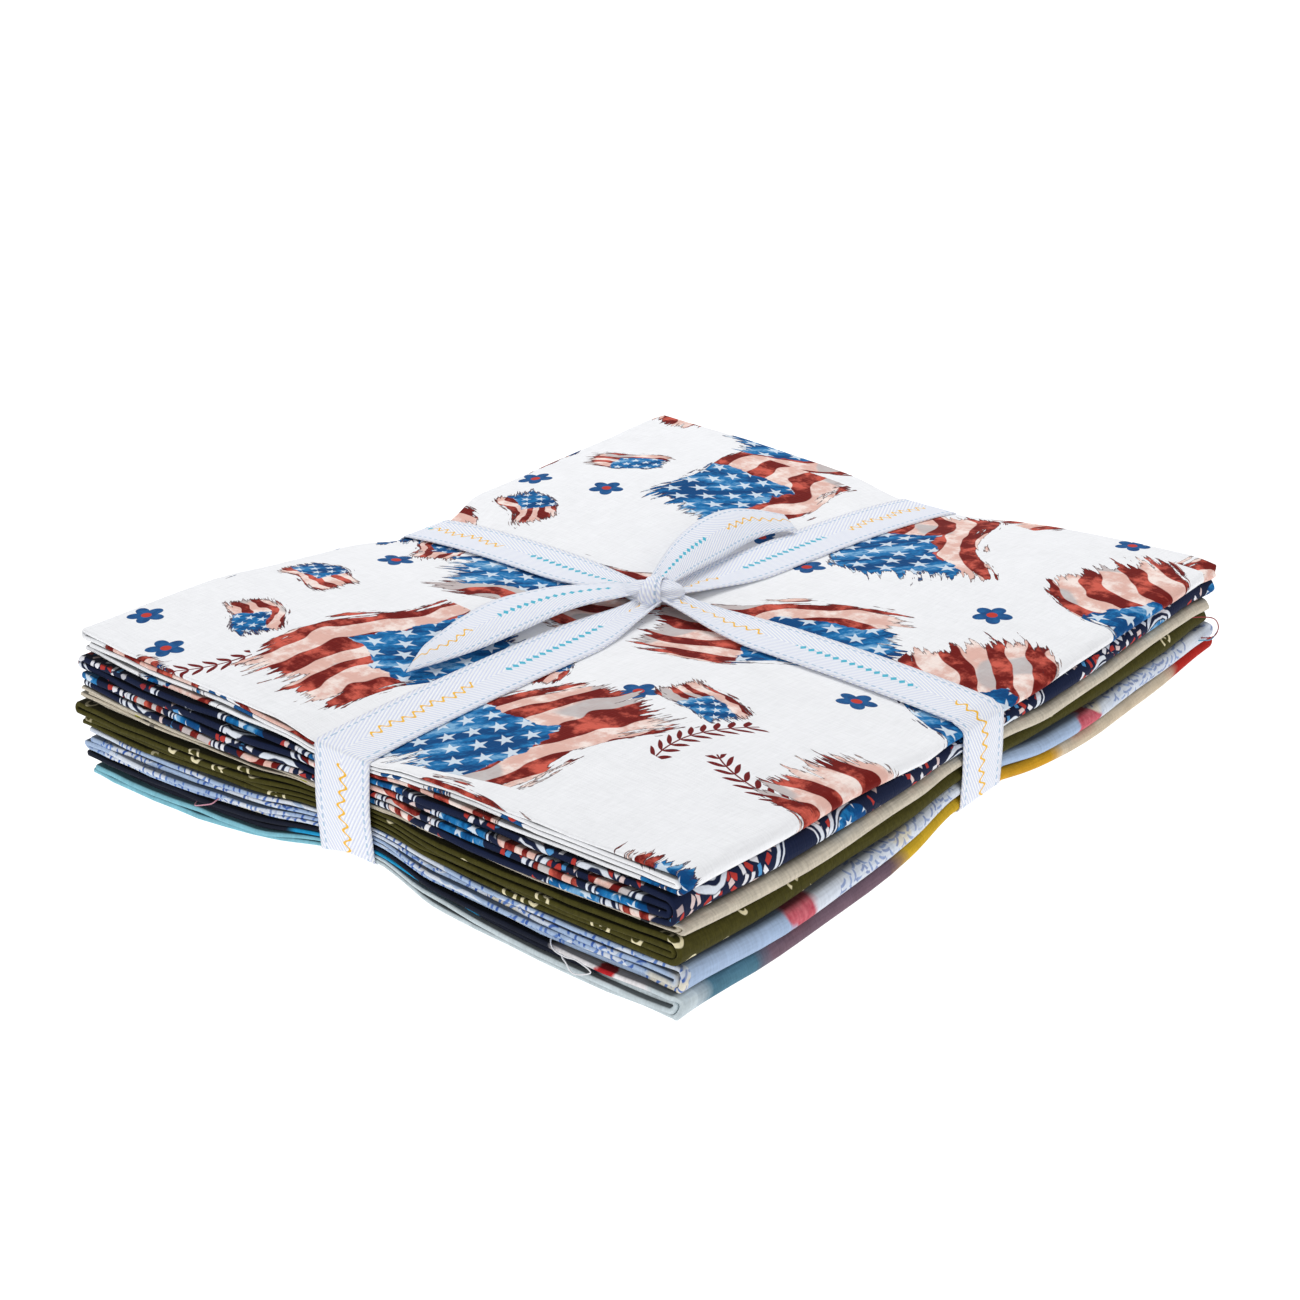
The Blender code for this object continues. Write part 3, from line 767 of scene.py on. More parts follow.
def tail_points(table):
    """Rows of points of a free end, from inside the knot to its cut."""
    edges = []
    for row in table:
        ends = []
        for (x, y), lift in zip((row["left"], row["right"]), (row["lifts"][1], row["lifts"][0])):
            ends.append([x + ORIGIN_SHIFT[0], y + ORIGIN_SHIFT[1], float(top(x, y)) + lift])
        edges.append(ends)
    edges = np.array(edges)
    rows = []
    for i in range(TAIL_ROWS + 1):
        share = i / TAIL_ROWS
        left, right = through(edges, share)
        spread = (ACROSS + 0.5)[:, None]
        row = left * (1 - spread) + right * spread
        gathered = float(1 - ease(share / TAIL_GATHERED))
        pleats = TAIL_PLEATS["height"] * np.sin(2 * np.pi * TAIL_PLEATS["count"] * ACROSS + 1.0)
        crown = TAIL_CROWN * np.cos(np.pi * ACROSS) * math.sin(math.pi * share) ** 0.5
        row[:, 2] += (1 - gathered) * crown + gathered * pleats
        rows.append(row)
    return rows


# %% [markdown]
# ## The knot
#
# A knot in a ribbon is a small packed lump with one turn of ribbon pulled tight over it. The lump is a
# sphere that is flattened, turned along the knot and pressed into lengthwise pleats. The turn over it is one
# more strip, laid on an ellipse round the lump, folded to a third of its width and finely pleated.

# %% The knot
KNOT_AT = (-0.0040, -0.0050)
KNOT_RADII = (0.0098, 0.0056, 0.0036)
KNOT_TURN = math.radians(37)
KNOT_RAISE = 0.0006
KNOT_SEGMENTS = dict(u_segments=40, v_segments=28)
KNOT_PLEATS = ((0.09, 6, 1.5), (0.04, 11, -2.0))  # height, number round the knot, twist along it
KNOT_WAIST = dict(depth=0.16, reach=0.30)  # where the collar pulls the lump in
COLLAR = dict(width=0.0060, radii=(0.0063, 0.0043), lean=math.radians(12), shows=(0.66, 0.98))
COLLAR_ACROSS = np.linspace(-0.5, 0.5, 41)
COLLAR_ROWS = 40


def knot_frame():
    x, y = KNOT_AT[0] + ORIGIN_SHIFT[0], KNOT_AT[1] + ORIGIN_SHIFT[1]
    centre = np.array([x, y, float(top(0.0, 0.0)) + RIBBON_CLEAR + ARM_LIFT + KNOT_RAISE])
    long_way = np.array([math.cos(KNOT_TURN), math.sin(KNOT_TURN), 0])
    return centre, long_way, np.array([-long_way[1], long_way[0], 0])


def make_lump():
    centre, long_way, cross_way = knot_frame()
    bm = bmesh.new()
    uv_layer = bm.loops.layers.uv.new("flat")
    bmesh.ops.create_uvsphere(bm, radius=1, **KNOT_SEGMENTS)
    marks = {}
    for vert in bm.verts:
        a, b, c = vert.co.z, vert.co.x, vert.co.y  # the poles lie at the ends of the knot
        turn = math.atan2(c, b)
        pleats = sum(height * math.sin(count * turn + twist * a) for height, count, twist in KNOT_PLEATS)
        waist = 1 - KNOT_WAIST["depth"] * math.exp(-((a / KNOT_WAIST["reach"]) ** 2))
        swell = (1 + pleats) * waist
        spot = centre + KNOT_RADII[0] * a * long_way + KNOT_RADII[1] * b * swell * cross_way
        spot[2] += KNOT_RADII[2] * c * swell
        marks[vert] = (turn / (2 * math.pi) * 2 * RIBBON_WIDTH + RIBBON_WIDTH, a * KNOT_RADII[0])
        vert.co = spot
    set_flat(bm.faces, uv_layer, marks)
    bmesh.ops.recalc_face_normals(bm, faces=bm.faces)
    return add_piece("ribbon_knot", bm)


def collar_points():
    """Rows round the middle of the knot, pinched and pleated across the collar's width."""
    centre, long_way, cross_way = knot_frame()
    lean = math.sin(COLLAR["lean"])
    rows = []
    for i in range(COLLAR_ROWS):
        turn = 2 * math.pi * i / COLLAR_ROWS
        wide, high = COLLAR["radii"]
        side, rise = wide * math.cos(turn), high * math.sin(turn)
        pinch = 1 + 0.07 * np.cos(2 * np.pi * COLLAR_ACROSS)
        pinch += 0.032 * np.sin(9 * np.pi * COLLAR_ACROSS + turn) + 0.02 * np.sin(5 * np.pi * COLLAR_ACROSS)
        shift = COLLAR["width"] * (1 + 0.18 * math.cos(2 * turn)) * COLLAR_ACROSS + lean * side
        row = centre + shift[:, None] * long_way + (side * pinch)[:, None] * cross_way
        row[:, 2] += rise * pinch
        rows.append(row)
    return rows


def make_ribbon():
    bm = bmesh.new()
    bm.loops.layers.uv.new("flat")
    lengths = [
        strip(bm, band_points(True, 0.0), closed=True),
        strip(bm, band_points(False, CROSSING), closed=True, start=0.7, way=-1),
        strip(bm, tail_points(TAILS["front"]), start=0.05),
        strip(bm, tail_points(TAILS["back"]), start=0.32, way=-1),
        strip(bm, collar_points(), closed=True, start=0.9, shows=COLLAR["shows"]),
    ]
    bmesh.ops.recalc_face_normals(bm, faces=bm.faces)
    return add_piece("ribbon", bm, RIBBON_SHEET), lengths


ribbon, ribbon_lengths = make_ribbon()
knot = make_lump()
for piece in (ribbon, knot):
    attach(piece, "root")
    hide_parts("ribbon_tie")
print("ribbon in the two bands, the two ends and the collar, in m:", np.round(ribbon_lengths, 3))

# %% [markdown]
# ## Loose threads
#
# A few warp threads have worked loose from the cut edges: a pink one and a white loop at the front and two
# short ones at the far right corner. Each is a thin tube along a smooth line through a few points, with both
# ends tucked in between the folds.

# %% Loose threads
THREAD_RADIUS = 0.00020
LOOSE_THREADS = {
    "loose_thread_pink": dict(
        on="cloth_2_pale_blue", colour=(214, 150, 168),
        points=[(-0.0655, -0.1395, 0.0060), (-0.0633, -0.1428, 0.0064), (-0.0588, -0.1434, 0.0083),
                (-0.0556, -0.1430, 0.0097), (-0.0546, -0.1415, 0.0108), (-0.0540, -0.1385, 0.0116)],
    ),
    "loose_thread_white": dict(
        on="cloth_2_pale_blue", colour=(238, 238, 242),
        points=[(0.0695, -0.1345, 0.0105), (0.0702, -0.1380, 0.0101), (0.0729, -0.1400, 0.0091),
                (0.0776, -0.1410, 0.0093), (0.0818, -0.1410, 0.0097), (0.0861, -0.1405, 0.0075),
                (0.0802, -0.1405, 0.0048), (0.0775, -0.1405, 0.0071), (0.0750, -0.1392, 0.0079),
                (0.0744, -0.1350, 0.0080)],
    ),
    "loose_thread_red": dict(
        on="cloth_4_natural", colour=(150, 44, 44),
        points=[(0.1110, 0.1290, 0.0172), (0.1152, 0.1341, 0.0168), (0.1168, 0.1383, 0.0149),
                (0.1173, 0.1404, 0.0113), (0.1168, 0.1387, 0.0086), (0.1148, 0.1345, 0.0090),
                (0.1115, 0.1310, 0.0095)],
    ),
    "loose_thread_cyan": dict(
        on="cloth_1_colour_blocks", colour=(70, 160, 190),
        points=[(0.1110, 0.1290, 0.0085), (0.1152, 0.1330, 0.0088), (0.1166, 0.1372, 0.0080),
                (0.1168, 0.1402, 0.0092), (0.1160, 0.1424, 0.0086)],
    ),
}
THREAD_SIDES = 6
THREAD_LOOKS = {"Roughness": 0.85, "Sheen Weight": 0.2}


def make_thread(name, row):
    corners = np.array(row["points"])
    line = np.array([through(corners, share) for share in np.linspace(0, 1, 12 * len(corners))])
    bm = bmesh.new()
    uv_layer = bm.loops.layers.uv.new("flat")
    bmesh.ops.create_grid(bm, x_segments=THREAD_SIDES, y_segments=len(line) - 1, size=1)
    ahead = np.gradient(line, axis=0)
    ahead /= np.linalg.norm(ahead, axis=1)[:, None]
    side = np.cross(ahead, (0.3, 0.2, 1.0))
    side /= np.linalg.norm(side, axis=1)[:, None]
    up = np.cross(side, ahead)
    marks = {}
    for vert in bm.verts:
        row_at = round((vert.co.y + 1) / 2 * (len(line) - 1))
        turn = (vert.co.x + 1) * math.pi
        marks[vert] = (turn * THREAD_RADIUS, row_at * 0.0005)
        vert.co = line[row_at] + THREAD_RADIUS * (math.cos(turn) * side[row_at] + math.sin(turn) * up[row_at])
    set_flat(bm.faces, uv_layer, marks)
    bmesh.ops.remove_doubles(bm, verts=bm.verts, dist=1e-6)
    bmesh.ops.holes_fill(bm, edges=[edge for edge in bm.edges if edge.is_boundary])
    bmesh.ops.recalc_face_normals(bm, faces=bm.faces)
    thread = add_piece(name, bm)
    thread.data.materials.append(plain_paint(name, row["colour"], THREAD_LOOKS))
    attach(thread, "root")
    return thread


threads = {name: make_thread(name, row) for name, row in LOOSE_THREADS.items()}
print("loose threads:", len(threads))


# %% [markdown]
# ## A short way to write materials
#
# The prints and the weave are all worked out from the flat cloth's own UV map, which is in metres. A
# material of this kind has many small sums in it, so two classes keep them short. A Value is a number that
# some node hands on, and Python's own signs between Values add the Math nodes for the sum. Graph adds every
# other node, wires its inputs and hands back its output.

# %% A short way to write materials
FULL_TURN = 6.28
STAR_SLOPE = 3.08  # makes the sides of a star's five points straight


class Value:
    """A number that a node hands on. A sum with it adds the node for that sum."""

    def __init__(self, graph, socket):
        self.graph = graph
        self.socket = socket

    def __add__(self, other):
        return self.graph.math("ADD", self, other)

    def __sub__(self, other):
        return self.graph.math("SUBTRACT", self, other)

    def __rsub__(self, other):
        return self.graph.math("SUBTRACT", other, self)

    def __mul__(self, other):
        return self.graph.math("MULTIPLY", self, other)

    def __truediv__(self, other):
        return self.graph.math("DIVIDE", self, other)

    def __pow__(self, other):
        return self.graph.math("POWER", self, other)

    def __abs__(self):
        return self.graph.math("ABSOLUTE", self)

    def sine(self):
        return self.graph.math("SINE", self)

    def in_repeat(self, length):
        """How far into its repeat the value is, from 0 to 1."""
        return self.graph.math("FRACT", self / length)


class Graph:
    """The nodes of one material, added and wired line by line."""

    def __init__(self, name):
        self.material = bpy.data.materials.new(name)
        self.material.use_nodes = True
        self.nodes = self.material.node_tree.nodes
        self.links = self.material.node_tree.links
        self.shader = self.nodes["Principled BSDF"]
        self.flat = self.add("ShaderNodeUVMap", {}, uv_map="flat").outputs["UV"]

    def plug(self, socket, value):
        if isinstance(value, Value):
            value = value.socket
        if isinstance(value, bpy.types.NodeSocket):
            self.links.new(value, socket)
        else:
            socket.default_value = value

    def add(self, kind, inputs, **settings):
        node = self.nodes.new(kind)
        for key, value in settings.items():
            setattr(node, key, value)
        for key, value in inputs.items():
            self.plug(node.inputs[key], value)
        return node

    def number(self, kind, inputs, output, **settings):
        """Adds a node of which one output is a number."""
        return Value(self, self.add(kind, inputs, **settings).outputs[output])

    def math(self, operation, *values):
        return self.number("ShaderNodeMath", dict(enumerate(values)), 0, operation=operation)

    def length(self, vector):
        return self.number("ShaderNodeVectorMath", {0: vector}, "Value", operation="LENGTH")

    def vector(self, operation, *vectors):
        node = self.add("ShaderNodeVectorMath", dict(enumerate(vectors)), operation=operation)
        return node.outputs["Vector"]

    def stretch(self, vector, x, y):
        return self.vector("MULTIPLY", vector, (x, y, 0.0))

    def shift(self, vector, x, y):
        return self.vector("ADD", vector, (x, y, 0.0))

    def turn(self, vector, angle):
        inputs = {"Vector": vector, "Angle": angle}
        return self.add("ShaderNodeVectorRotate", inputs, rotation_type="Z_AXIS").outputs[0]

    def join(self, x, y):
        return self.add("ShaderNodeCombineXYZ", {"X": x, "Y": y}).outputs[0]

    def split(self, vector):
        outputs = self.add("ShaderNodeSeparateXYZ", {0: vector}).outputs
        return Value(self, outputs["X"]), Value(self, outputs["Y"])

    def noise(self, vector, scale, detail=2.0, roughness=0.5):
        inputs = {"Vector": vector, "Scale": scale, "Detail": detail, "Roughness": roughness}
        return self.number("ShaderNodeTexNoise", inputs, "Fac", noise_dimensions="2D")

    def cells(self, vector, size, randomness):
        """Cells about size apart: the place inside the nearest one, its centre and two random values."""
        inputs = {"Vector": vector, "Scale": 1.0 / size, "Randomness": randomness}
        node = self.add("ShaderNodeTexVoronoi", inputs, voronoi_dimensions="2D")
        centre = node.outputs["Position"]
        shares = self.add("ShaderNodeSeparateColor", {0: node.outputs["Color"]}).outputs
        place = self.vector("SUBTRACT", vector, centre)
        return place, centre, Value(self, shares["Red"]), Value(self, shares["Green"])

    def below(self, value, edge, soft):
        """1 where value is below edge, 0 above it, with a soft step between."""
        inputs = {"Value": value - edge, "From Min": 0.0, "From Max": soft, "To Min": 1.0, "To Max": 0.0}
        return self.number("ShaderNodeMapRange", inputs, 0, interpolation_type="SMOOTHSTEP")

    def above(self, value, edge, soft):
        return 1.0 - self.below(value, edge, soft)

    def near(self, value, middle, width, soft):
        """1 where value is within width of middle."""
        return self.below(abs(value - middle), width, soft)

    def either(self, first, second):
        return self.math("MAXIMUM", first, second)

    def mix(self, share, first, second, blend="MIX"):
        inputs = {0: share, 6: first, 7: second}
        return self.add("ShaderNodeMix", inputs, data_type="RGBA", blend_type=blend).outputs[2]

    def shaded(self, colour, shade):
        """A colour times a number."""
        grey = self.add("ShaderNodeCombineColor", {"Red": shade, "Green": shade, "Blue": shade})
        return self.mix(1.0, colour, grey.outputs[0], "MULTIPLY")

    def steps(self, value, stops, soft=0.0):
        """Colours one after another; stops are (from which value, colour), soft is the border's width."""
        node = self.add("ShaderNodeValToRGB", {0: value})
        ramp = node.color_ramp
        ramp.interpolation = "LINEAR" if soft else "CONSTANT"
        marks = list(stops)
        if soft:
            marks = []
            for (_, before), (place, colour) in zip(stops, stops[1:]):
                marks += [(place - soft / 2, before), (place + soft / 2, colour)]
        for place, colour in marks[1:]:
            ramp.elements.new(place)
        ramp.elements.remove(ramp.elements[len(marks)])
        for element, (place, colour) in zip(ramp.elements, marks):
            element.position = place
            element.color = colour
        return node.outputs["Color"]

    def star(self, place, radius, soft):
        """A five-pointed star round the middle of place."""
        x, y = self.split(place)
        fifth = self.math("PINGPONG", self.math("ARCTAN2", y, x), math.pi / 5)
        slope = self.math("COSINE", fifth) + fifth.sine() * STAR_SLOPE
        return self.below(self.length(place) * slope, radius, soft)

    def finish(self, colour, height, bump, looks):
        """Wires a colour and a bump into the shader. bump is (strength, depth), looks the other inputs."""
        inputs = {"Strength": bump[0], "Distance": bump[1], "Height": height}
        raised = self.add("ShaderNodeBump", inputs).outputs["Normal"]
        for name, value in {"Base Color": colour, "Normal": raised, **looks}.items():
            self.plug(self.shader.inputs[name], value)
        return self.material


# %% [markdown]
# ## The weave
#
# Quilting cotton is a plain weave of about 25 threads to the centimetre. At the picture's scale that is fine
# grain and faint ribs across each fold, so warp and weft are two noises, each drawn out along its own
# threads. They tint the print a little and drive the bump. Between the threads there is dye and fluff, so
# the cloth is matt, with hardly any sheen at grazing angles. Where the tucked attribute marks a crevice, the
# cloth is darkened as painted shade.

# %% The weave
THREADS = 1500.0  # to the metre, as far apart as the picture can show them
THREAD_DRAW = 0.09  # draws a noise out along its threads
WEAVE_BUMP = (0.55, 0.00022)
# how far the painted shade in the crevices darkens the cloth
CREVICE_SHADE = 0.76
COTTON = {"Sheen Weight": 0.03, "Sheen Roughness": 0.45, "Specular IOR Level": 0.10}


def weave(graph, colour, tint=0.16):
    """Finishes a cloth material: the threads over the printed colour, darkened in the crevices as painted
    shade.
    """
    warp = graph.noise(graph.stretch(graph.flat, 1.0, THREAD_DRAW), THREADS, 1.0)
    weft = graph.noise(graph.stretch(graph.flat, THREAD_DRAW, 1.0), THREADS, 1.0)
    threads = warp + weft
    fading = graph.noise(graph.flat, 60.0, 3.0) - 0.5
    # painted shade: the cloth is darkened where the tucked attribute marks a crevice between folds
    painted_crevice_shade = graph.number("ShaderNodeAttribute", {}, "Fac", attribute_name="tucked")
    shade = ((threads - 1.0) * tint + 1.0 + fading * 0.07) * (1.0 - painted_crevice_shade * CREVICE_SHADE)
    looks = {"Roughness": threads * 0.06 + 0.82, **COTTON}
    return graph.finish(graph.shaded(colour, shade), threads, WEAVE_BUMP, looks)


# %% [markdown]
# ## The white print
#
# The top cloth has large flags on white, painted with a dry brush: a streaked blue wash with soft white
# stars in one corner and wavy stripes in red, peach and grey, all with a thin dark outline that frays at the
# ends of the strokes. Smaller flags, sprigs of leaves and blue flowers stand in the spaces. Every motif sits
# in a jittered cell and is turned by the cell's own random value, and it is left out where a larger one
# already stands.

# %% The white print: the two washes
STREAK_TURN = 0.6
STAR_TURNS = (0.5, 0.9)  # how far the grid of stars slants, and each star in it
DEEP_BLUE, MIDDLE_BLUE, LIGHT_BLUE = srgb(4, 70, 126), srgb(26, 116, 178), srgb(158, 206, 236)
STAR_WHITE = srgb(226, 238, 248)
RED_WASH = srgb(112, 22, 18), srgb(212, 96, 80)  # from dark to light, as the others are
PEACH_WASH = srgb(228, 184, 172), srgb(250, 234, 227)
GREY_WASH = srgb(186, 184, 186)


def blue_wash(graph, flat, stars, star_size):
    """Streaked blue watercolour with soft stars; stars is the place round each star's own middle."""
    streak = graph.noise(graph.stretch(graph.turn(flat, STREAK_TURN), 1.0, 3.6), 38.0, 5.0, 0.62)
    streak = (graph.noise(flat, 520.0, 2.0, 0.6) - 0.5) * 0.22 + streak
    wash = graph.mix(graph.above(streak, 0.40, 0.17), DEEP_BLUE, MIDDLE_BLUE)
    wash = graph.mix(graph.above(streak, 0.55, 0.16) * 0.62, wash, LIGHT_BLUE)
    star = graph.star(stars, star_size, star_size * 0.32)
    return graph.mix(star * 0.84, wash, STAR_WHITE)


def stripe_wash(graph, flat, across, period):
    """Wavy stripes in red and peach, greyed in places; across runs over the stripes."""
    bend = graph.noise(flat, 0.42 / period, 2.0) - 0.5
    phase = (bend * (period * 1.5) + across).in_repeat(period)
    cloud = graph.noise(flat, 105.0, 5.0, 0.66)
    red = graph.mix(graph.above(cloud, 0.44, 0.24), *RED_WASH)
    pale = graph.mix(graph.above(cloud, 0.40, 0.26), *PEACH_WASH)
    grey = graph.above(graph.noise(flat, 30.0, 1.0), 0.58, 0.04)
    pale = graph.mix(grey * 0.8, pale, GREY_WASH)
    return graph.mix(graph.near(phase, 0.5, 0.235, 0.025), pale, red)


def star_grid(graph, place, pitch):
    """The place inside a square of a slanting grid, in metres."""
    slant, star_turn = STAR_TURNS
    tile = graph.vector("FRACTION", graph.stretch(graph.turn(place, slant), 1 / pitch, 1 / pitch))
    return graph.turn(graph.stretch(graph.shift(tile, -0.5, -0.5), pitch, pitch), star_turn)


# %% The white print: the motifs
WHITE = srgb(243, 244, 247)
OUTLINE = srgb(70, 40, 44)
OUTLINE_WIDTH = 0.00042
FLOWER_BLUES = srgb(14, 44, 96), srgb(40, 110, 172)
FLOWER_RED = srgb(196, 62, 52)
SPRIG_RED = srgb(112, 28, 30)
WHITE_START = (0.024, 0.050)  # where the print begins, so that its motifs fall well on the top
FLAG = dict(spacing=0.085, jitter=0.38, size=(0.037, 0.0235), stars=(0.0029, 0.0084), stripes=0.0150)
SMALL_FLAG = dict(spacing=0.047, jitter=0.38, size=(0.0130, 0.0082), stars=(0.0015, 0.0044), stripes=0.0056)
SPRIG = dict(spacing=0.041, jitter=0.9, length=0.0180, bend=14.0, pitch=0.0042, leaf=0.0021, thick=0.0010)
FLOWER = dict(spacing=0.033, jitter=0.9, size=0.0060, heart=0.0015)


def away(graph, centre, row, distance):
    """1 where the nearest motif of row is farther than distance from centre."""
    place = graph.cells(centre, row["spacing"], row["jitter"])[0]
    return graph.above(graph.length(place), distance, 0.0001)


def add_flowers(graph, flat, under):
    place, centre, _, _ = graph.cells(flat, FLOWER["spacing"], FLOWER["jitter"])
    x, y = graph.split(place)
    petals = abs(graph.math("COSINE", graph.math("ARCTAN2", y, x) * 2.5))
    reach = graph.length(place) / (petals * 0.42 + 0.58)
    room = away(graph, centre, FLAG, 0.040) * away(graph, centre, SMALL_FLAG, 0.018)
    room = room * away(graph, centre, SPRIG, 0.015)
    blue = graph.mix(graph.noise(flat, 400.0, 3.0), *FLOWER_BLUES)
    colour = graph.mix(graph.below(reach, FLOWER["size"], 0.0003) * room, under, blue)
    heart = graph.below(graph.length(place), FLOWER["heart"], 0.0003)
    return graph.mix(heart * room, colour, FLOWER_RED)


def add_sprigs(graph, flat, under):
    place, centre, turn, _ = graph.cells(flat, SPRIG["spacing"], SPRIG["jitter"])
    x, y = graph.split(graph.turn(place, turn * FULL_TURN))
    pitch, leaf, thick = SPRIG["pitch"], SPRIG["leaf"], SPRIG["thick"]
    stem = abs(x * x * SPRIG["bend"] + y)
    from_leaf = abs(((x - stem * 0.9).in_repeat(pitch) - 0.5) * pitch)
    along_leaf = (stem - leaf) / leaf
    leaves = graph.below(along_leaf * along_leaf * thick + from_leaf, thick, 0.0002)
    sprig = graph.either(leaves, graph.below(stem, 0.00018, 0.0002))
    sprig = sprig * graph.below(abs(x), SPRIG["length"], 0.0003)
    room = away(graph, centre, FLAG, 0.045) * away(graph, centre, SMALL_FLAG, 0.018)
    return graph.mix(sprig * room, under, SPRIG_RED)


def add_flags(graph, flat, under, row, room):
    """Lays painted flags over a colour; room is a function from a flag's middle to whether it may stand."""
    place, centre, turn, kind = graph.cells(flat, row["spacing"], row["jitter"])
    x, y = graph.split(graph.turn(place, turn * FULL_TURN))
    half_x, half_y = row["size"]
    y = (x * (3.6 / half_x) + kind * 6.0).sine() * (half_y * 0.13) + y
    local = graph.join(x, y)

    oblong = (abs(x / half_x) ** 5.0 + abs(y / half_y) ** 5.0) ** 0.2
    drawn_out = graph.vector("ADD", graph.stretch(local, 0.7 / half_x, 4.5 / half_y), centre)
    strokes = graph.noise(drawn_out, 2.0, 4.0, 0.6) - 0.5
    ragged = graph.noise(flat, 1.6 / half_x, 5.0, 0.55) - 0.5
    edge = ragged * 0.55 + (strokes * 0.75 + oblong)

    star_size, pitch = row["stars"]
    blue = blue_wash(graph, flat, star_grid(graph, local, pitch), star_size)
    seep = ragged * (half_x * 0.5)
    corner = graph.below(x + seep, half_x * 0.22, 0.0004) * graph.above(y + seep, half_y * -0.42, 0.0004)
    paint = graph.mix(corner, stripe_wash(graph, flat, y, row["stripes"]), blue)
    stands = room(centre)
    line = OUTLINE_WIDTH / half_y
    colour = graph.mix(graph.below(edge, 1.0, line) * stands, under, paint)
    return graph.mix(graph.near(edge, 1.0, line * 0.4, line) * stands * 0.85, colour, OUTLINE)


def white_print():
    graph = Graph("white_print")
    flat = graph.shift(graph.flat, *WHITE_START)
    colour = add_sprigs(graph, flat, add_flowers(graph, flat, WHITE))
    colour = add_flags(graph, flat, colour, SMALL_FLAG, lambda centre: away(graph, centre, FLAG, 0.046))
    colour = add_flags(graph, flat, colour, FLAG, lambda centre: 1.0)
    return weave(graph, colour, tint=0.09)


# %% [markdown]
# ## The navy print
#
# Rings in thin white on navy, many filled with the same blue and red washes, and between them a scatter of
# small bits in white, red and light blue, so dense in places that the ground is nearly covered. On the folds
# at the front only slices of it show, which makes them look busy.

# %% The navy print
NAVY = srgb(23, 32, 60)
RING_WHITE = srgb(222, 228, 238)
RING = dict(
    spacing=0.0265, jitter=0.6, outer=(0.0106, 0.0005), inner=(0.0087, 0.0002), filled=0.0078, gap=-0.0062,
)
RING_FILL = dict(star=0.0018, star_pitch=0.0056, stripes=0.0056)
BIT = dict(spacing=0.0029, jitter=0.85, length=0.00108, slimness=1.9, clear_of_ring=0.0112)
BIT_COLOURS = [
    (0.0, srgb(184, 58, 52)), (0.30, srgb(232, 232, 238)),
    (0.66, srgb(84, 150, 204)), (0.80, srgb(222, 200, 198)),
]


def navy_print():
    graph = Graph("navy_print")
    flat = graph.flat
    place, _, turn, kind = graph.cells(flat, RING["spacing"], RING["jitter"])
    radius = (graph.noise(flat, 130.0, 2.0) - 0.5) * 0.0026 + graph.length(place)
    outer, inner = graph.near(radius, *RING["outer"], 0.0003), graph.near(radius, *RING["inner"], 0.0002)
    turned_x, turned_y = graph.split(graph.turn(place, turn * FULL_TURN))
    ring = graph.either(outer, inner) * graph.above(turned_x, RING["gap"], 0.0005)
    filled = graph.below(radius, RING["filled"], 0.0004) * graph.below(kind, 0.72, 0.001)
    blue = blue_wash(graph, flat, star_grid(graph, place, RING_FILL["star_pitch"]), RING_FILL["star"])
    red = stripe_wash(graph, flat, turned_y, RING_FILL["stripes"])
    fill = graph.mix(graph.below(kind, 0.34, 0.001), blue, red)

    place, centre, turn, kind = graph.cells(flat, BIT["spacing"], BIT["jitter"])
    x, y = graph.split(graph.turn(place, turn * (FULL_TURN / 2)))
    bit = graph.below(graph.either(abs(x), abs(y) * BIT["slimness"]), BIT["length"], 0.0003)
    crowd = graph.below(graph.noise(centre, 38.0, 2.0), 0.59, 0.02)
    bits = bit * crowd * graph.above(radius, BIT["clear_of_ring"], 0.0004)
    colour = graph.mix(bits, NAVY, graph.steps(kind, BIT_COLOURS))
    colour = graph.mix(filled, colour, fill)
    return weave(graph, graph.mix(ring, colour, RING_WHITE))


# %% [markdown]
# ## The plainer cottons
#
# The natural cloth is nearly bare, with a few flecks. The olive one has small cream crescents. The pale blue
# one changes between a plain sky and a whiter ground with brushed strokes, and has a crimson patch where
# they meet.

# %% The natural and the olive cloth
FRONT_EDGE = 0.2855  # where along the width the folds at the front end and the outer wrap begins
NATURAL = srgb(196, 186, 168), srgb(214, 205, 188)
OLIVE = srgb(57, 54, 20), srgb(79, 75, 30)
CREAM = srgb(232, 222, 184)
FLECK = dict(spacing=0.0062, size=0.0018)
FLECK_COLOURS = [(0.0, srgb(170, 168, 40)), (0.45, srgb(44, 74, 130)), (0.75, srgb(60, 60, 66))]
CRESCENT = dict(spacing=0.0105, radius=0.0019, line=0.0003, twin=0.0014, twin_line=0.00025, twin_at=0.0021)


def natural_cotton():
    graph = Graph("natural_cotton")
    flat = graph.flat
    place, centre, _, kind = graph.cells(flat, FLECK["spacing"], 0.9)
    fleck = graph.below(graph.length(graph.stretch(place, 0.7, 1.5)), FLECK["size"], 0.0005)
    crowd = graph.below(graph.noise(centre, 26.0, 1.0), 0.335, 0.02)
    at_front = graph.below(graph.split(flat)[0], FRONT_EDGE, 0.0006)
    ground = graph.mix(graph.noise(flat, 900.0, 2.0), *NATURAL)
    colour = graph.mix(fleck * crowd * at_front, ground, graph.steps(kind, FLECK_COLOURS))
    return weave(graph, colour, tint=0.32)


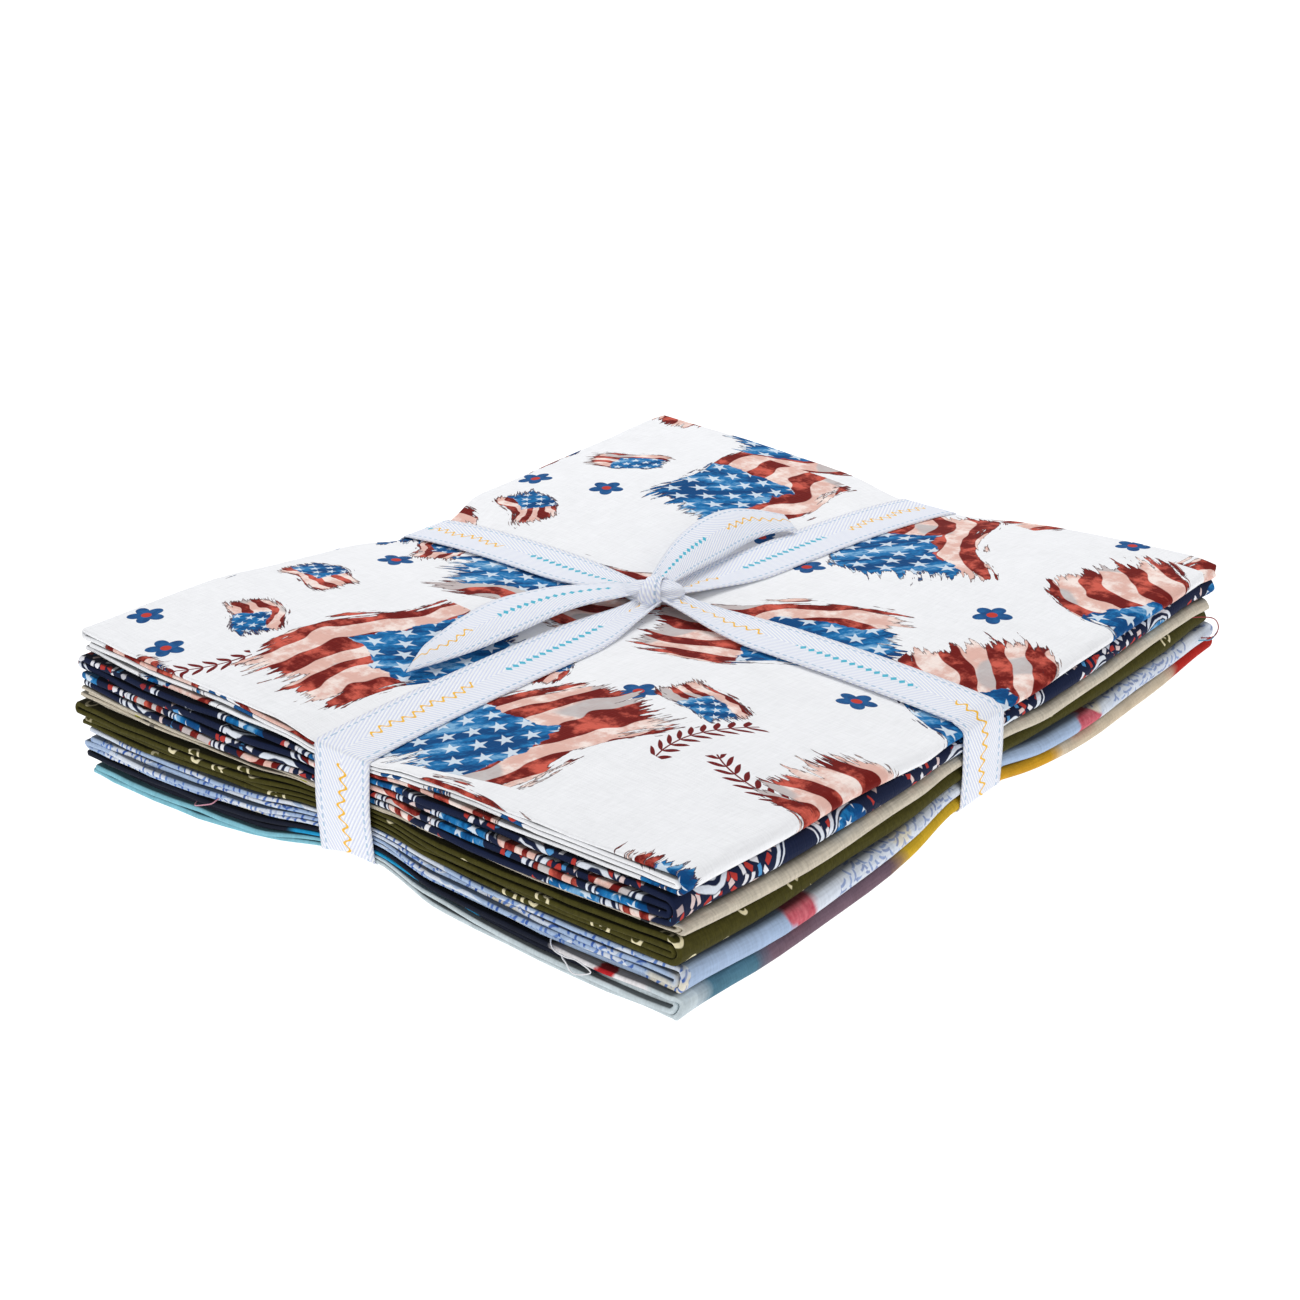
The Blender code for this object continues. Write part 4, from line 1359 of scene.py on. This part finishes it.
def olive_print():
    graph = Graph("olive_print")
    flat = graph.flat
    place, centre, turn, kind = graph.cells(flat, CRESCENT["spacing"], 0.9)
    place = graph.turn(place, turn * FULL_TURN)
    x, y = graph.split(place)
    circle = graph.near(graph.length(place), CRESCENT["radius"], CRESCENT["line"], 0.0003)
    twin = graph.length(graph.shift(place, -CRESCENT["twin_at"], 0.0))
    twin = graph.near(twin, CRESCENT["twin"], CRESCENT["twin_line"], 0.0003)
    mark = graph.either(circle * graph.below(x, 0.0008, 0.0004), twin * graph.below(y, 0.0002, 0.0004))
    crowd = graph.below(kind, 0.52, 0.001) * graph.below(graph.noise(centre, 30.0, 1.0), 0.52, 0.02)
    ground = graph.mix(graph.noise(flat, 700.0, 3.0), *OLIVE)
    return weave(graph, graph.mix(mark * crowd, ground, CREAM), tint=0.24)


# %% The pale blue cloth
SKY = dict(repeat=0.150, start=0.172, share=0.30, wander=0.02)
CRIMSON = (0.335, 0.045, 0.015)  # in shares of the sky's repeat
CLOUD_COLOURS = srgb(196, 208, 226), srgb(232, 236, 243)
SKY_BLUE = srgb(168, 189, 219)
PATCH_CREAM = srgb(236, 218, 168)
CRIMSON_WASH = srgb(176, 44, 70), srgb(226, 130, 140)
STROKE_BLUES = srgb(58, 92, 168), srgb(104, 138, 200)
STROKE = dict(spacing=0.0024, length=0.0013, width=0.0002, bow=160.0, turn=2.4)


def pale_blue_print():
    graph = Graph("pale_blue_print")
    flat = graph.flat
    u, _ = graph.split(flat)
    wandering = (graph.noise(flat, 40.0, 3.0) - 0.5) * SKY["wander"] + u
    repeat = (wandering + SKY["start"]).in_repeat(SKY["repeat"])
    sky = graph.below(repeat, SKY["share"], 0.02)
    crimson = graph.near(repeat, *CRIMSON) * graph.below(graph.noise(flat, 55.0, 2.0), 0.56, 0.06)
    on_wrap = graph.above(u, FRONT_EDGE - 0.006, 0.0006)  # its print stops at the corner itself
    plain = 1.0 - sky * on_wrap
    cloud = graph.mix(graph.noise(flat, 80.0, 4.0), *CLOUD_COLOURS)
    ground = graph.mix(sky, cloud, SKY_BLUE)
    cream = graph.below(graph.noise(flat, 36.0, 1.0), 0.31, 0.05) * 0.50
    ground = graph.mix(cream * plain, ground, PATCH_CREAM)

    place, centre, turn, kind = graph.cells(flat, STROKE["spacing"], 1.0)
    x, y = graph.split(graph.turn(place, (turn - 0.5) * STROKE["turn"]))
    bowed = x * x * STROKE["bow"] + y
    stroke = graph.near(bowed, 0.0, STROKE["width"], 0.00035) * graph.below(abs(x), STROKE["length"], 0.0005)
    crowd = graph.below(graph.noise(centre, 52.0, 2.0), 0.53, 0.03)
    stroke = stroke * crowd * plain * (1.0 - on_wrap * 0.35)
    colour = graph.mix(stroke, ground, graph.mix(kind, *STROKE_BLUES))
    red = graph.mix(graph.noise(flat, 500.0, 3.0), *CRIMSON_WASH)
    return weave(graph, graph.mix(crimson, colour, red), tint=0.22)


# %% [markdown]
# ## The colour blocks
#
# The lowest cloth is painted in large blocks. Along the outer wrap they follow each other over the cloth's
# width, and on the folds at the front over its length. Their borders wander a little, and the paint is
# uneven inside.

# %% The colour blocks
WRAP_BLOCKS = [
    (0.0, srgb(186, 198, 205)), (0.290, srgb(82, 124, 144)), (0.316, srgb(118, 95, 108)),
    (0.375, srgb(206, 168, 44)), (0.420, srgb(204, 152, 36)), (0.462, srgb(206, 190, 166)),
    (0.532, srgb(176, 36, 28)), (0.600, srgb(92, 140, 120)), (0.720, srgb(206, 190, 160)),
    (0.830, srgb(60, 92, 140)), (0.940, srgb(150, 170, 110)),
]
FRONT_BLOCKS = [
    (0.0, srgb(132, 192, 208)), (0.108, srgb(200, 212, 217)), (0.241, srgb(236, 232, 234)),
    (0.268, srgb(28, 32, 46)), (0.550, srgb(36, 156, 208)), (0.618, srgb(28, 32, 46)),
    (0.664, srgb(200, 212, 217)), (0.800, srgb(132, 192, 208)),
]
RED_MARK = (0.252, 0.0016, 0.0008)
MARK_RED = srgb(186, 34, 40)


def colour_blocks():
    graph = Graph("colour_blocks")
    u, v = graph.split(graph.flat)
    wander = graph.noise(graph.flat, 55.0, 4.0) - 0.5
    along_v = wander * 0.014 + v
    at_front = graph.below(u, FRONT_EDGE, 0.0006)
    wrap = graph.steps(wander * 0.012 + u, WRAP_BLOCKS, soft=0.0040)
    colour = graph.mix(at_front, wrap, graph.steps(along_v, FRONT_BLOCKS, soft=0.0016))
    colour = graph.mix(graph.near(along_v, *RED_MARK) * at_front, colour, MARK_RED)
    cloud = (graph.noise(graph.flat, 130.0, 5.0, 0.65) - 0.5) * 0.9 + 1.0
    return weave(graph, graph.mix(0.6, colour, graph.shaded(colour, cloud)), tint=0.22)


# %% [markdown]
# ## The twill ribbon
#
# A herringbone twill: steep ribs that turn back at the middle of the ribbon, with a pale thread stitched in
# dashes along each edge. Between the ribs the white is darkened as painted shade in the grooves. A row of
# gold waves and a row of small teal diamonds take turns along it.

# %% The twill ribbon
# the darker white, between the ribs, is painted shade in the grooves; the lighter one is the ribbon's own
# white
TWILL_WHITE_AND_GROOVE_SHADE = srgb(214, 220, 242), srgb(252, 254, 255)  # between the ribs and on them
STITCH_BLUE, GOLD, TEAL = srgb(158, 190, 218), srgb(246, 188, 34), srgb(62, 184, 212)
RIB = 0.0022  # from one rib to the next along the ribbon
RIB_SLOPE = 1.8
STITCH = dict(from_middle=0.0083, pitch=0.0026)
MOTIF_REPEAT = 0.110
WAVE = dict(sways=((0.0041, 0.0012), (0.0173, 0.0007)), line=0.00036, reach=(0.027, 0.021))
DIAMOND = dict(pitch=0.0029, size=0.00092, reach=(0.082, 0.021))
TWILL_BUMP = (0.6, 0.00018)
TWILL = {"Roughness": 0.72, "Sheen Weight": 0.15, "Specular IOR Level": 0.3}


def ribbon_twill():
    graph = Graph("ribbon_twill")
    u, v = graph.split(graph.flat)
    off_middle = u - RIBBON_WIDTH / 2
    from_middle = abs(off_middle)
    ribs = ((from_middle * -RIB_SLOPE + v) * (2 * math.pi / RIB)).sine()
    fine = graph.noise(graph.stretch(graph.flat, 1.0, 0.5), 1800.0, 2.0)
    # painted shade: the white is darker between the ribs, where the bump sinks
    ground = graph.mix(ribs * 0.5 + 0.5, *TWILL_WHITE_AND_GROOVE_SHADE)

    edge = graph.near(from_middle, STITCH["from_middle"], 0.00022, 0.00025)
    dash = graph.below(v.in_repeat(STITCH["pitch"]), 0.50, 0.08)
    colour = graph.mix(edge * dash * 0.75, ground, STITCH_BLUE)

    where = v.in_repeat(MOTIF_REPEAT) * MOTIF_REPEAT
    swing, slow = ((v * (2 * math.pi / length)).sine() * height for length, height in WAVE["sways"])
    line = graph.near(off_middle - (swing + slow), 0.0, WAVE["line"], 0.0003)
    gold = line * graph.near(where, *WAVE["reach"], 0.0005)
    colour = graph.mix(gold, colour, GOLD)
    along_tile = abs((v.in_repeat(DIAMOND["pitch"]) - 0.5) * DIAMOND["pitch"])
    diamond = graph.below(from_middle * 0.75 + along_tile, DIAMOND["size"], 0.0003)
    teal = diamond * graph.near(where, *DIAMOND["reach"], 0.0005)
    colour = graph.mix(teal, colour, TEAL)
    return graph.finish(colour, fine * 0.6 + ribs * 0.5, TWILL_BUMP, TWILL)


PAINTS = {
    "cloth_1_colour_blocks": colour_blocks,
    "cloth_2_pale_blue": pale_blue_print,
    "cloth_3_olive": olive_print,
    "cloth_4_natural": natural_cotton,
    "cloth_5_navy": navy_print,
    "cloth_6_white_print": white_print,
}
for name, paint in PAINTS.items():
    cloths[name].data.materials.append(paint())
twill = ribbon_twill()
for piece in (ribbon, knot):
    piece.data.materials.append(twill)
print("materials:", ", ".join(material.name for material in bpy.data.materials))
